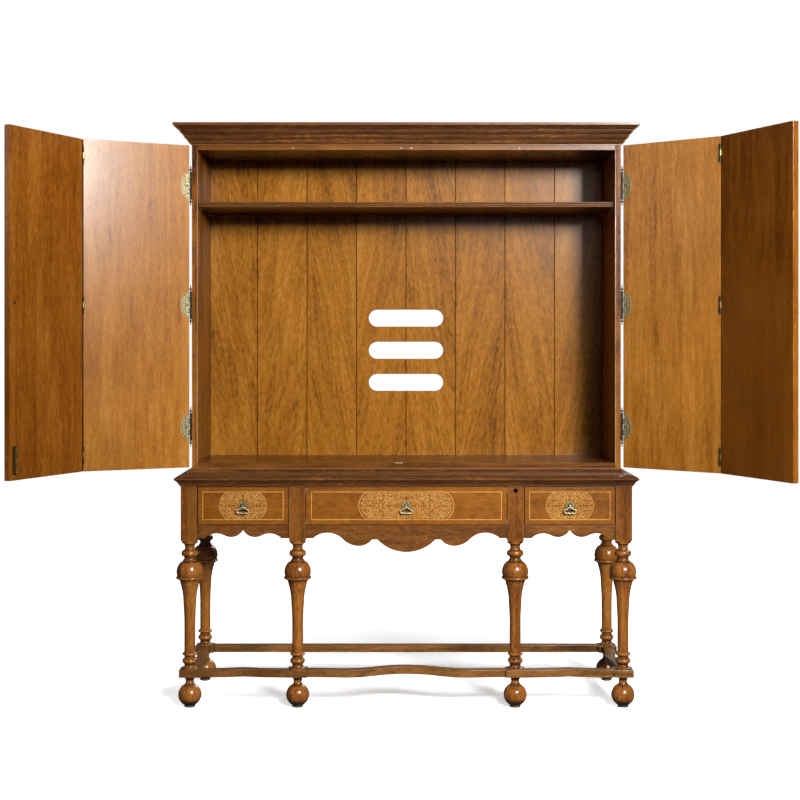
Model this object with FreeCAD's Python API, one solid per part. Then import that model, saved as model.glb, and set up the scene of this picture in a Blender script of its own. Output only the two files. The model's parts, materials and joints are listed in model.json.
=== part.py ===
import FreeCAD, Part
import math
import os

from FreeCAD import Vector

# Media armoire on a turned stand: a shallow case with two pairs of folding doors, on a six-legged
# stand with three drawers, the middle one with a fall front.
# Millimetres. X to the right of someone facing the doors, Y from front to back, Z up.
# The origin is on the floor, under the middle of the stand.

# ---- Stand: driving dimensions
STAND_WIDTH = 1475.0  # over the corner posts
STAND_DEPTH = 435.0  # over the front and back posts
POST = 53.0  # square section of each leg's upper part
INNER_POST_SPACING = 714.0  # between the middles of the two inner front posts
POST_LENGTH = 180.0
LEG_TURNING = 421.0  # turned part of a leg, from its square part to the stretchers
STRETCHER_THICKNESS = 24.0
STRETCHER_WIDTH = 36.0
STRETCHER_PAD = 63.0  # square widening of the stretchers under each leg
FOOT_HEIGHT = 101.0
BALL_RADIUS = 38.0
NECK_TOP_RADIUS = 21.0  # of the neck between a stretcher pad and its ball
NECK_WAIST_RADIUS = 13.4
NECK_END_RADIUS = 17.4
NECK_WAIST_SHARE = 0.7  # place of the neck's waist, as a share of its length
DOWEL_RADIUS = 11.0  # tenon of a leg, through its stretcher pad into its foot
DOWEL_LENGTH = 58.0
DOWEL_CLEARANCE = 0.1
GLIDE_RADIUS = 18.0
GLIDE_THICKNESS = 6.5
PANEL = 20.0  # thickness of aprons, end panels, dividers and the stand's back
PANEL_RECESS = 4.0  # of those panels behind the posts' faces
STAND_TOP_THICKNESS = 34.0
NOSE_OVERHANG = 20.5  # of the stand top's moulding, beyond the posts
LEDGE_OVERHANG = 4.5  # of the stand top's upper edge, beyond the posts

# ---- Aprons: depths below the drawers' openings, and places as shares of half an apron's width
APRON_END = 42.5  # depth where an apron meets a post
END_FLAT_SHARE = 0.166
SIDE_HUMP_SHARE, SIDE_HUMP_DEPTH = 0.425, 26.5
SIDE_TROUGH_SHARE, SIDE_TROUGH_DEPTH = 0.744, 38.5
SIDE_CUSP_DEPTH = 15.5
CENTRE_FLAT_SHARE = 0.076
CENTRE_HUMP_SHARE, CENTRE_HUMP_DEPTH = 0.219, 24.5
CENTRE_TROUGH_SHARE, CENTRE_TROUGH_DEPTH = 0.528, 67.5
CENTRE_NOTCH_SHARE, CENTRE_NOTCH_DEPTH = 0.661, 46.5
CENTRE_NOTCH_END_SHARE = 0.7125
CENTRE_DROP = 87.5

# ---- Stretchers in plan, measured back from the pads' front
SHORT_START, SHORT_CUSP = 3.0, 18.0
LONG_START, LONG_CREASE, LONG_MIDDLE = 9.0, 2.0, 55.0
LONG_CREASE_DISTANCE = 119.5  # from the inner pads
SIDE_STRETCHER_NECK = 14.0  # recess of the side stretchers beside their pads

# ---- Drawers
DRAWER_HEIGHT = 128.5  # of their openings
DRAWER_GAP = 1.5
DRAWER_RECESS = 2.0  # of their fronts behind the posts' faces
FRONT_THICKNESS = 20.0
DRAWER_SIDE = 12.0
DRAWER_SIDE_GAP = 4.0
DRAWER_SIDE_DROP = 26.2  # of the drawers' sides below the stand top
CENTRE_SIDE_DROP = 6.2
DRAWER_BACK_GAP = 14.0  # behind the drawers
DRAWER_BOTTOM = 6.0
BOTTOM_SINK = 8.0  # from the lower edge of a drawer's sides up to its bottom
RUNNER_CLEARANCE = 0.3
RUNNER_HEIGHT = 15.0
RUNNER_LEDGE = 12.0  # of a runner's ledge under a drawer's side
GUIDE_HEIGHT = 17.0
GUIDE_CLEARANCE = 0.5
FLAP_PIVOT_INSET = 3.0  # of the fall front's pivot from its front and lower faces
FLAP_BACK_GAP = 0.5  # between the shut fall front and its drawer's box
FLAP_PIN_RADIUS = 2.0
FLAP_PIN_LENGTH = 10.0
FLAP_END_GAP = 2.5
FLAP_PLATE = 1.4
FLAP_PLATE_CLEARANCE = 0.4
FLAP_PLATE_HEIGHT = 16.0
FLAP_PLATE_LENGTH = 24.0  # behind the fall front
FLAP_PLATE_INSET = 1.0  # of the plates from the sides' and the front's edges
EYE_RADIUS = 7.8
EYE_DEPTH = 12.0
EYE_PROUD = 2.0
EYE_DROP = 14.0  # below the stand top

# ---- Case: driving dimensions
CASE_INSET = 27.5  # of the case's sides from the posts' outer faces
CASE_SETBACK = 66.0  # of the case's front from the front posts' faces
CASE_SIDE = 19.0
CASE_BOARD = 18.0  # thickness of the floor and the top
PLINTH = 19.2  # from the stand top up to the floor's underside
BAY_HEIGHT = 1035.4  # from the floor to the ceiling
CROWN_REVEAL = 16.4  # edge of the top left in sight under the crown
RAIL = 20.0
BACK_BOARD = 14.0
BACK_RECESS = 32.0  # space behind the back boards
BACK_GROOVE_PITCH = 174.7
BACK_BOARD_COUNT = 8
GROOVE = 1.8
SLOT_LENGTH = 263.0
SLOT_HEIGHT = 60.0
SLOT_COUNT = 3
SLOT_PITCH = 113.6
LOWEST_SLOT = 256.3  # middle of the lowest slot above the floor
SHELF_HEIGHT = 848.1  # from the floor to the shelf's underside
SHELF_THICKNESS = 17.3
SHELF_SETBACK = 17.5
SHELF_END_GAP = 2.0
SHELF_REEDS = 3
PIN_RADIUS = 3.0
PIN_REACH = 9.0
PIN_BORE_CLEARANCE = 0.05
PIN_INSET = 42.0  # of the shelf pins from the shelf's front and back edges
BASE_HEIGHT = 20.0
BASE_PROJECTION = 14.0
BASE_TOE = 6.0
CROWN_HEIGHT = 67.5
CROWN_PROJECTION = 56.0
CROWN_FILLET = 8.0  # flat edge at the top of the crown
CASE_SIDE_TOP_GAP = 3.0  # of the sides below the crown's top

# ---- Doors: driving dimensions
DOOR_THICKNESS = 20.0
DOOR_GAP = 1.5  # above and below the doors
FOLD_GAP = 2.5
MEETING_GAP = 3.0
DOOR_STANDOFF = 1.5  # of the shut doors in front of the case
FOLD_OFFSET = 0.2  # of the fold hinges' barrels from the doors' inner faces
LEFT_SWING, LEFT_FOLD = 153.9, 39.2  # degrees from shut, as the doors stand
RIGHT_SWING, RIGHT_FOLD = 140.6, 27.3
CASE_HINGE_INSET = 118.5  # of the outer case hinges from the bay's floor and ceiling
CASE_HINGE_RISE = 4.0  # of the middle case hinge above the bay's middle
FOLD_HINGE_INSET = 38.2

# ---- Metal fittings
CASE_LEAF_HEIGHT = 92.0
CASE_LEAF_WIDTH = 29.0
LEAF = 1.5
LEAF_RISE = 0.35  # of the case's leaves above the wood
KNUCKLE_RADIUS = 3.5
KNUCKLE_CLEARANCE = 0.15  # between the barrels and the case's leaves
NECK = 2.4  # reach of the leaves' necks on their pins
HINGE_PIN_RADIUS = 1.9
HINGE_RUNNING = 0.08
KNUCKLE_COUNT = 5
KNUCKLE_GAP = 0.3
FINIAL_LENGTH = 20.0
FOLD_LEAF_HEIGHT = 56.0
FOLD_LEAF_WIDTH = 15.0
FOLD_LEAF = 1.0
FOLD_KNUCKLE_RADIUS = 3.0
FOLD_PIN_RADIUS = 1.4
BUMPER_RADIUS = 2.5
BUMPER_HEIGHT = 1.3
BUMPER_OFFSETS = (17.0, 375.5)
BUMPER_RISE = 5.4  # above the ceiling
BOLT_OFFSET = 24.0  # of the slide bolt from the case's middle, doors shut
BOLT_ROD_RADIUS = 2.5
BOLT_THROW = 10.0
BOLT_LENGTH = 85.0
BOLT_WIDTH = 21.0
BOLT_PLATE = 1.5
BOLT_GUIDE = 9.0
BOLT_ROD_RISE = 6.0  # of the rod's axis from the door
BOLT_FLOOR_GAP = 2.8  # between the drawn bolt and the case floor
BOLT_KNOB_RADIUS = 4.0
BOLT_RUNNING = 0.1
STRIKE_WIDTH = 26.4
STRIKE_DEPTH = 12.0
PULL_EDGE = 22.0  # of the door pulls from the doors' free edges
PULL_HEIGHT = 518.8  # of the door pulls' pivots above the case floor
PULL_PLATE_HEIGHT = 148.0
PULL_PLATE_WIDTH = 30.0
PULL_PLATE_THICKNESS = 2.5
PULL_SCREW_RADIUS = 2.2
PULL_SCREW_HEAD = (4.5, 1.2)  # radius, height
FORK_REACH = 7.0  # of a pull's pivot in front of its plate
FORK_RADIUS = 4.0
FORK_CHEEK = 2.0
FORK_OPENING = 4.6
FORK_PIN_RADIUS = 1.2
EYELET_RADIUS = 3.2
EYELET_WIDTH = 4.0
EYELET_RUNNING = 0.1
TEARDROP_LENGTH = 40.0
TEARDROP_RADIUS = 6.0
ROSE_THICKNESS = 2.5
ROSE_RADIUS = 12.5
BAIL_WIDTH = 41.0
BAIL_DROP = 27.5
BAIL_WIRE = 2.3  # radius

# ---- Places that follow
CASE_WIDTH = STAND_WIDTH - 2 * CASE_INSET
Z_STRETCHER = FOOT_HEIGHT
Z_TURNING = Z_STRETCHER + STRETCHER_THICKNESS
Z_POST = Z_TURNING + LEG_TURNING
Z_TOP_UNDERSIDE = Z_POST + POST_LENGTH
Z_CASE = Z_TOP_UNDERSIDE + STAND_TOP_THICKNESS
Z_DRAWER = Z_TOP_UNDERSIDE - DRAWER_HEIGHT
Z_FLOOR_UNDERSIDE = Z_CASE + PLINTH
Z_FLOOR = Z_FLOOR_UNDERSIDE + CASE_BOARD
Z_CEILING = Z_FLOOR + BAY_HEIGHT
Z_CASE_TOP = Z_CEILING + CASE_BOARD
Z_BAY_MIDDLE = (Z_FLOOR + Z_CEILING) / 2
Z_CASE_HINGES = (Z_FLOOR + CASE_HINGE_INSET, Z_BAY_MIDDLE + CASE_HINGE_RISE, Z_CEILING - CASE_HINGE_INSET)
Z_FOLD_HINGES = (Z_FLOOR + FOLD_HINGE_INSET, Z_BAY_MIDDLE, Z_CEILING - FOLD_HINGE_INSET)
Z_CROWN = Z_CEILING + CROWN_REVEAL
Z_CROWN_TOP = Z_CROWN + CROWN_HEIGHT
Z_DOOR = Z_CASE + BASE_HEIGHT + DOOR_GAP
DOOR_HEIGHT = Z_CROWN - DOOR_GAP - Z_DOOR
X_STAND = STAND_WIDTH / 2
X_CORNER = X_STAND - POST / 2
X_INNER = INNER_POST_SPACING / 2
Y_FRONT = -STAND_DEPTH / 2
Y_BACK = STAND_DEPTH / 2
Y_FRONT_LEG = Y_FRONT + POST / 2
Y_BACK_LEG = Y_BACK - POST / 2
X_CASE = CASE_WIDTH / 2
X_BAY = X_CASE - CASE_SIDE
Y_CASE = Y_FRONT + CASE_SETBACK
Y_BOARDS_BACK = Y_BACK - BACK_RECESS
Y_BOARDS = Y_BOARDS_BACK - BACK_BOARD
Y_DOOR_INNER = Y_CASE - DOOR_STANDOFF  # inner face of a shut door
Y_DOOR_OUTER = Y_DOOR_INNER - DOOR_THICKNESS
DOOR_WIDTH = (CASE_WIDTH - 2 * FOLD_GAP - MEETING_GAP) / 4
X_PIN = X_CASE + LEAF_RISE + KNUCKLE_CLEARANCE + KNUCKLE_RADIUS
X_INNER_PANEL = X_CASE - DOOR_WIDTH
X_FOLD = X_INNER_PANEL - FOLD_GAP / 2
X_OUTER_PANEL = X_INNER_PANEL - FOLD_GAP
Y_FOLD = Y_DOOR_INNER + FOLD_KNUCKLE_RADIUS + FOLD_OFFSET
Y_DRAWER_FRONT = Y_FRONT + DRAWER_RECESS
Y_DRAWER_BOX = Y_DRAWER_FRONT + FRONT_THICKNESS
Z_DRAWER_BOX = Z_DRAWER + RUNNER_CLEARANCE
Y_FRAME = (Y_FRONT + POST, Y_BACK - PANEL_RECESS - PANEL)  # behind the front posts, up to the stand's back
CENTRE_OPENING = X_INNER - POST / 2  # half its width
SIDE_OPENING = (X_INNER + POST / 2, X_CORNER - POST / 2)  # its ends on X
LEGS = {
    "left_front_leg": (-X_CORNER, Y_FRONT_LEG),
    "left_inner_leg": (-X_INNER, Y_FRONT_LEG),
    "right_inner_leg": (X_INNER, Y_FRONT_LEG),
    "right_front_leg": (X_CORNER, Y_FRONT_LEG),
    "left_rear_leg": (-X_CORNER, Y_BACK_LEG),
    "right_rear_leg": (X_CORNER, Y_BACK_LEG),
}


# ---- Shape helpers
def box(x, y, z):
    """A block between two places on each axis."""
    x, y, z = sorted(x), sorted(y), sorted(z)
    return Part.makeBox(x[1] - x[0], y[1] - y[0], z[1] - z[0], Vector(x[0], y[0], z[0]))


def rod(radius, start, end):
    """A round bar between two points."""
    start, end = Vector(*start), Vector(*end)
    return Part.makeCylinder(radius, (end - start).Length, start, end - start)


def mirrored(shape):
    """The same shape on the other side of the middle."""
    return shape.mirror(Vector(0, 0, 0), Vector(1, 0, 0))


def pair(shape):
    """A shape and its mirror image."""
    return [shape, mirrored(shape)]


def moved(shape, x=0.0, y=0.0, z=0.0):
    copy = shape.copy()
    copy.translate(Vector(x, y, z))
    return copy


def turned(shape, x, y, degrees):
    """A copy turned about an upright axis."""
    copy = shape.copy()
    copy.rotate(Vector(x, y, 0), Vector(0, 0, 1), degrees)
    return copy


def joined(shapes):
    """One solid from several that meet."""
    return shapes[0].multiFuse(shapes[1:]).removeSplitter()


def path(steps, place):
    """Edges through (u, v) or (u, v, bulge) steps; a bulge is an arc's height to the left of its chord."""
    edges = []
    for before, step in zip(steps, steps[1:]):
        (u0, v0), (u1, v1) = before[:2], step[:2]
        if len(step) == 2:
            edges.append(Part.makeLine(place(u0, v0), place(u1, v1)))
            continue
        chord = math.hypot(u1 - u0, v1 - v0)
        u = (u0 + u1) / 2 - (v1 - v0) / chord * step[2]
        v = (v0 + v1) / 2 + (u1 - u0) / chord * step[2]
        edges.append(Part.Arc(place(u0, v0), place(u, v), place(u1, v1)).toShape())
    return edges


def face(steps, place):
    """A flat face inside an outline of steps, closed with a straight edge where it isn't closed."""
    closed = steps if steps[-1][:2] == steps[0][:2] else steps + [steps[0][:2]]
    return Part.Face(Part.Wire(path(closed, place)))


def level_arc(start, end, level_at_end):
    """The step to end on an arc that runs level at one of its ends."""
    run, rise = end[0] - start[0], end[1] - start[1]
    radius = (run**2 + rise**2) / (2 * abs(rise))
    height = radius - math.sqrt(radius**2 - (run**2 + rise**2) / 4)
    left = (run * rise > 0) == level_at_end
    return (*end, height if left else -height)


def ogee(start, end):
    """The two steps of an S-curve that runs level at both ends."""
    middle = ((start[0] + end[0]) / 2, (start[1] + end[1]) / 2)
    return [level_arc(start, middle, False), level_arc(middle, end, True)]


def reversed_steps(steps, flip_u=False):
    """The same steps backwards, and on the other side of u = 0 if asked."""
    sign = -1 if flip_u else 1
    result = [(sign * steps[-1][0], steps[-1][1])]
    for before, step in zip(reversed(steps[:-1]), reversed(steps[1:])):
        bulge = [] if len(step) == 2 else [-step[2] * sign]
        result.append((sign * before[0], before[1], *bulge))
    return result


def whole_width(half):
    """Steps from one end to the other, from those of the half on the negative side."""
    return half + reversed_steps(half, flip_u=True)[1:]


def mitred(profile, x, y_front, y_back, reach, z):
    """Three lengths of moulding round the front and sides, mitred at the front corners.

    The profile's steps are (projection, height)."""
    far = x + reach
    front = face(profile, lambda u, v: Vector(-far, y_front - u, z + v))
    front = front.extrude(Vector(2 * far, 0, 0))
    top = max(step[1] for step in profile)
    corners = [(-x, y_front), (x, y_front), (far, y_front - reach), (-far, y_front - reach)]
    front = front.common(prism(corners, z, z + top))
    side = face(profile, lambda u, v: Vector(x + u, y_front - reach, z + v))
    side = side.extrude(Vector(0, y_back - y_front + reach, 0))
    corners = [(x, y_front), (far, y_front - reach), (far, y_back), (x, y_back)]
    side = side.common(prism(corners, z, z + top))
    return front.Solids + [piece.Solids[0] for piece in pair(side)]


def prism(corners, z0, z1):
    """An upright block on a polygon."""
    outline = Part.makePolygon([Vector(x, y, z0) for x, y in corners + corners[:1]])
    return Part.Face(outline).extrude(Vector(0, 0, z1 - z0))


def lathe(steps, x=0.0, y=0.0):
    """A turning about an upright axis from (radius, z) steps."""
    closed = [(0.0, steps[0][1])] + steps + [(0.0, steps[-1][1])]
    outline = face(closed, lambda u, v: Vector(x + u, y, v))
    return outline.revolve(Vector(x, y, 0), Vector(0, 0, 1), 360)


def save(name, shapes):
    """One STEP file per node, which may hold a group of like solids."""
    solids = [solid for shape in shapes for solid in shape.Solids]
    node = solids[0] if len(solids) == 1 else Part.makeCompound(solids)
    if not node.isValid():
        print(name, "is not valid")
    node.exportStep(f"parts/{name}.step")
    print(f"{name}: {len(solids)} solid(s), {sum(s.Volume for s in solids) / 1e3:.1f} cm3")


# ---- Stand
def leg_outline():
    """(radius, z) steps of a leg's turning, from its square part down to the stretchers."""
    top = [
        (26.0, 0),
        (26.0, 8),
        (23.0, 9.5),
        (16.5, 25, -3.0),
        (20.5, 32, -1.2),
        (23.5, 33),
        (23.5, 51, 4.2),
        (20.0, 52.5),
        (19.0, 62, -1.2),
        (23.0, 64),
        (23.0, 70),
        (29.5, 71),
        (41.5, 115, 6.6),
        (41.5, 118),
        (41.5, 126, 3.6),
        (36.0, 128.5),
        (31.0, 140, -1.2),
        (21.0, 205, -2.6),
        (17.9, 285, -0.9),
    ]
    bottom = [
        (17.9, 57),
        (21.0, 53.5),
        (21.0, 44.5, 3.3),
        (18.0, 42, -0.6),
        (18.0, 37.5),
        (19.5, 35),
        (19.5, 18, 5.0),
        (18.0, 16, -0.5),
        (25.0, 4, -3.2),
        (26.0, 3),
        (26.0, 0),
    ]
    down = [(step[0], Z_POST - step[1], *step[2:]) for step in top]
    return down + [(step[0], Z_TURNING + step[1], *step[2:]) for step in bottom]


def leg(x, y):
    """A leg in one piece: square post, turning and the tenon for its foot."""
    half = POST / 2
    post = box((x - half, x + half), (y - half, y + half), (Z_POST, Z_TOP_UNDERSIDE))
    tenon = rod(DOWEL_RADIUS, (x, y, Z_TURNING), (x, y, Z_TURNING - DOWEL_LENGTH))
    return joined([post, lathe(leg_outline(), x, y), tenon])


def tenon_hole(x, y):
    radius = DOWEL_RADIUS + DOWEL_CLEARANCE
    bottom = Z_TURNING - DOWEL_LENGTH - DOWEL_CLEARANCE
    return rod(radius, (x, y, bottom), (x, y, Z_TURNING))


def foot(x, y):
    """A turned ball under a short neck."""
    ball_z = GLIDE_THICKNESS + math.sqrt(BALL_RADIUS**2 - GLIDE_RADIUS**2)
    joint = ball_z + math.sqrt(BALL_RADIUS**2 - NECK_END_RADIUS**2)
    waist = Z_STRETCHER - NECK_WAIST_SHARE * (Z_STRETCHER - joint)
    steps = [
        (NECK_TOP_RADIUS, Z_STRETCHER),
        (NECK_WAIST_RADIUS, waist, -2.5),
        (NECK_END_RADIUS, joint, -0.8),
    ]
    ball = Part.makeSphere(BALL_RADIUS, Vector(x, y, ball_z))
    below_ball = rod(BALL_RADIUS, (x, y, ball_z - 2 * BALL_RADIUS), (x, y, GLIDE_THICKNESS))
    return joined([lathe(steps, x, y), ball]).cut(below_ball).cut(tenon_hole(x, y))


def glide(x, y):
    return rod(GLIDE_RADIUS, (x, y, 0), (x, y, GLIDE_THICKNESS))


def pad(x, y):
    half = STRETCHER_PAD / 2
    return box((x - half, x + half), (y - half, y + half), (Z_STRETCHER, Z_TURNING))


def strip(steps, place):
    """A flat length of stretcher whose back edge copies its front edge."""
    back = [(step[0], step[1] + STRETCHER_WIDTH, *step[2:]) for step in steps]
    return face(steps + reversed_steps(back), place).extrude(Vector(0, 0, STRETCHER_THICKNESS))


def short_curve(half, start):
    """Half a short serpentine, from a pad to the cusp in its middle."""
    first, cusp = (-half, start), (0.0, start + SHORT_CUSP - SHORT_START)
    return whole_width([first, level_arc(first, cusp, False)])


def front_stretcher():
    """Serpentine board with a pad under each front leg."""
    y = Y_FRONT_LEG - STRETCHER_PAD / 2
    half_pad = STRETCHER_PAD / 2
    start = (-(X_INNER - half_pad), LONG_START)
    crease = (start[0] + LONG_CREASE_DISTANCE, LONG_CREASE)
    middle = (0.0, LONG_MIDDLE)
    half = [start, level_arc(start, crease, False)] + ogee(crease, middle)
    long = strip(whole_width(half), lambda u, v: Vector(u, y + v, Z_STRETCHER))
    x = (X_CORNER + X_INNER) / 2
    curve = short_curve((X_CORNER - X_INNER) / 2 - half_pad, SHORT_START)
    short = strip(curve, lambda u, v: Vector(x + u, y + v, Z_STRETCHER))
    pads = [pad(sign * x, Y_FRONT_LEG) for x in (X_INNER, X_CORNER) for sign in (-1, 1)]
    board = joined([long] + pair(short) + pads)
    for leg_x in (-X_CORNER, -X_INNER, X_INNER, X_CORNER):
        board = board.cut(tenon_hole(leg_x, Y_FRONT_LEG))
    return board


def rear_stretcher():
    """Straight board with a pad under each rear leg."""
    half = STRETCHER_WIDTH / 2
    long = box((-X_CORNER, X_CORNER), (Y_BACK_LEG - half, Y_BACK_LEG + half), (Z_STRETCHER, Z_TURNING))
    board = joined([long, pad(-X_CORNER, Y_BACK_LEG), pad(X_CORNER, Y_BACK_LEG)])
    return board.cut(tenon_hole(-X_CORNER, Y_BACK_LEG)).cut(tenon_hole(X_CORNER, Y_BACK_LEG))


def side_stretcher():
    """Shaped board between the right legs' pads."""
    half = (Y_BACK_LEG - Y_FRONT_LEG - STRETCHER_PAD) / 2
    x = X_CORNER + STRETCHER_PAD / 2
    curve = short_curve(half, SIDE_STRETCHER_NECK)
    return strip(curve, lambda u, v: Vector(x - v, u, Z_STRETCHER))


def side_scallop(half):
    """Lower edge of a narrow apron: two humps, two troughs and a cusp."""
    start = (-half * (1 - END_FLAT_SHARE), -APRON_END)
    hump = (-half * (1 - SIDE_HUMP_SHARE), -SIDE_HUMP_DEPTH)
    trough = (-half * (1 - SIDE_TROUGH_SHARE), -SIDE_TROUGH_DEPTH)
    steps = [(-half, -APRON_END), start, level_arc(start, hump, True)]
    steps += ogee(hump, trough)
    steps.append(level_arc(trough, (0.0, -SIDE_CUSP_DEPTH), False))
    return whole_width(steps)


def centre_scallop(half):
    """Lower edge of the middle apron: humps and troughs beside a deep drop."""
    start = (-half * (1 - CENTRE_FLAT_SHARE), -APRON_END)
    hump = (-half * (1 - CENTRE_HUMP_SHARE), -CENTRE_HUMP_DEPTH)
    trough = (-half * (1 - CENTRE_TROUGH_SHARE), -CENTRE_TROUGH_DEPTH)
    notch = (-half * (1 - CENTRE_NOTCH_SHARE), -CENTRE_NOTCH_DEPTH)
    notch_end = (-half * (1 - CENTRE_NOTCH_END_SHARE), -CENTRE_NOTCH_DEPTH)
    steps = [(-half, -APRON_END), start, level_arc(start, hump, True)]
    steps += ogee(hump, trough)
    steps += [level_arc(trough, notch, False), notch_end]
    steps.append(level_arc(notch_end, (0.0, -CENTRE_DROP), True))
    return whole_width(steps)


def apron(steps, x):
    """A front apron with the given lower edge, its middle at x."""
    outline = steps + [(-steps[0][0], 0.0), (steps[0][0], 0.0)]
    y = Y_FRONT + PANEL_RECESS
    board = face(outline, lambda u, v: Vector(x + u, y, Z_DRAWER + v))
    return board.extrude(Vector(0, PANEL, 0))


def front_aprons():
    half = (SIDE_OPENING[1] - SIDE_OPENING[0]) / 2
    side = apron(side_scallop(half), sum(SIDE_OPENING) / 2)
    return [apron(centre_scallop(CENTRE_OPENING), 0.0)] + pair(side)


def end_panel():
    """Side of the stand, scalloped like the narrow aprons."""
    half = (Y_BACK_LEG - Y_FRONT_LEG - POST) / 2
    rise = Z_TOP_UNDERSIDE - Z_DRAWER
    outline = side_scallop(half) + [(half, rise), (-half, rise)]
    x = X_STAND - PANEL_RECESS - PANEL
    return face(outline, lambda u, v: Vector(x, u, Z_DRAWER + v)).extrude(Vector(PANEL, 0, 0))


def stand_back():
    y = Y_BACK - PANEL_RECESS
    x = X_CORNER - POST / 2
    return box((-x, x), (y - PANEL, y), (Z_DRAWER - APRON_END, Z_TOP_UNDERSIDE))


def divider():
    """Partition behind the right inner post."""
    x = (X_INNER - PANEL / 2, X_INNER + PANEL / 2)
    return box(x, Y_FRAME, (Z_DRAWER - APRON_END + PANEL, Z_TOP_UNDERSIDE))


def runner(wall, drawer_side, end):
    """Ledge and guide for one side of a drawer, fixed to the wall beside it, back to the given Y."""
    inward = 1 if drawer_side > wall else -1
    guide = drawer_side - inward * GUIDE_CLEARANCE
    ledge = drawer_side + inward * RUNNER_LEDGE
    outline = [
        (wall, -RUNNER_HEIGHT),
        (ledge, -RUNNER_HEIGHT),
        (ledge, 0.0),
        (guide, 0.0),
        (guide, GUIDE_HEIGHT),
        (wall, GUIDE_HEIGHT),
    ]
    section = face(outline, lambda u, v: Vector(u, Y_FRAME[0], Z_DRAWER + v))
    return section.extrude(Vector(0, end - Y_FRAME[0], 0))


def drawer_runners():
    centre = runner(X_INNER - PANEL / 2, CENTRE_OPENING - DRAWER_SIDE_GAP, Y_FRAME[1])
    near = runner(X_INNER + PANEL / 2, SIDE_OPENING[0] + DRAWER_SIDE_GAP, Y_FRAME[1])
    end_wall = X_STAND - PANEL_RECESS - PANEL
    far = runner(end_wall, SIDE_OPENING[1] - DRAWER_SIDE_GAP, Y_BACK - POST)
    return pair(centre) + pair(near) + pair(far)


def stand_top():
    """Board with a moulded nose along the front and the ends."""
    height = STAND_TOP_THICKNESS
    nose = NOSE_OVERHANG
    profile = [
        (0.0, 0.0),
        (3.0, 0.0),
        (3.0, 3.0),
        (6.0, 5.0),
        (nose, height - 12.5, 2.2),
        (nose, height - 10.0),
        (LEDGE_OVERHANG + 2.0, height - 1.5, -2.2),
        (LEDGE_OVERHANG, height),
        (0.0, height),
    ]
    board = box((-X_STAND, X_STAND), (Y_FRONT, Y_BACK), (Z_TOP_UNDERSIDE, Z_CASE))
    nosing = mitred(profile, X_STAND, Y_FRONT, Y_BACK, nose, Z_TOP_UNDERSIDE)
    return joined([board] + nosing)


def eye_hole():
    z = Z_TOP_UNDERSIDE - EYE_DROP
    return rod(EYE_RADIUS, (X_INNER, Y_FRONT, z), (X_INNER, Y_FRONT + EYE_DEPTH, z))


def remote_eye():
    """Dark lens of an infra-red repeater, let into the right inner post."""
    z = Z_TOP_UNDERSIDE - EYE_DROP
    body = rod(EYE_RADIUS, (X_INNER, Y_FRONT - EYE_PROUD, z), (X_INNER, Y_FRONT + EYE_DEPTH, z))
    rim = min(body.Edges, key=lambda edge: edge.CenterOfMass.y)
    return body.makeFillet(EYE_PROUD * 0.6, [rim])


# ---- Drawers
def drawer_box(x0, x1, y0, drop):
    """Two sides, a back and a bottom between them, as loose boards that meet."""
    y1 = Y_FRAME[1] - DRAWER_BACK_GAP
    z0, z1 = Z_DRAWER_BOX, Z_TOP_UNDERSIDE - drop
    inner = (x0 + DRAWER_SIDE, x1 - DRAWER_SIDE)
    z_bottom = z0 + BOTTOM_SINK
    return [
        box((x0, inner[0]), (y0, y1), (z0, z1)),
        box((inner[1], x1), (y0, y1), (z0, z1)),
        box(inner, (y1 - DRAWER_SIDE, y1), (z_bottom + DRAWER_BOTTOM, z1)),
        box(inner, (y0, y1), (z_bottom, z_bottom + DRAWER_BOTTOM)),
    ]


def side_drawer_front():
    x = (SIDE_OPENING[0] + DRAWER_GAP, SIDE_OPENING[1] - DRAWER_GAP)
    z = (Z_DRAWER + DRAWER_GAP, Z_TOP_UNDERSIDE - DRAWER_GAP)
    return box(x, (Y_DRAWER_FRONT, Y_DRAWER_BOX), z)


def flap_pivot():
    """Y and Z of the fall front's pivot."""
    return Y_DRAWER_FRONT + FLAP_PIVOT_INSET, Z_DRAWER + DRAWER_GAP + FLAP_PIVOT_INSET


def fall_front():
    """Front of the middle drawer: it turns down on two pins near its lower front edge."""
    x = CENTRE_OPENING - FLAP_END_GAP
    y, z = flap_pivot()
    heights = (Z_DRAWER + DRAWER_GAP, Z_TOP_UNDERSIDE - DRAWER_GAP)
    front = box((-x, x), (Y_DRAWER_FRONT, Y_DRAWER_BOX), heights)
    edges = [
        edge
        for edge in front.Edges
        if abs(edge.CenterOfMass.y - Y_DRAWER_FRONT) < 0.01
        and abs(edge.CenterOfMass.z - heights[0]) < 0.01
    ]
    front = front.makeFillet(FLAP_PIVOT_INSET - 0.1, edges)
    bore = rod(FLAP_PIN_RADIUS + HINGE_RUNNING, (x - FLAP_PIN_LENGTH, y, z), (x, y, z))
    for hole in pair(bore):
        front = front.cut(hole)
    return front


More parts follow.
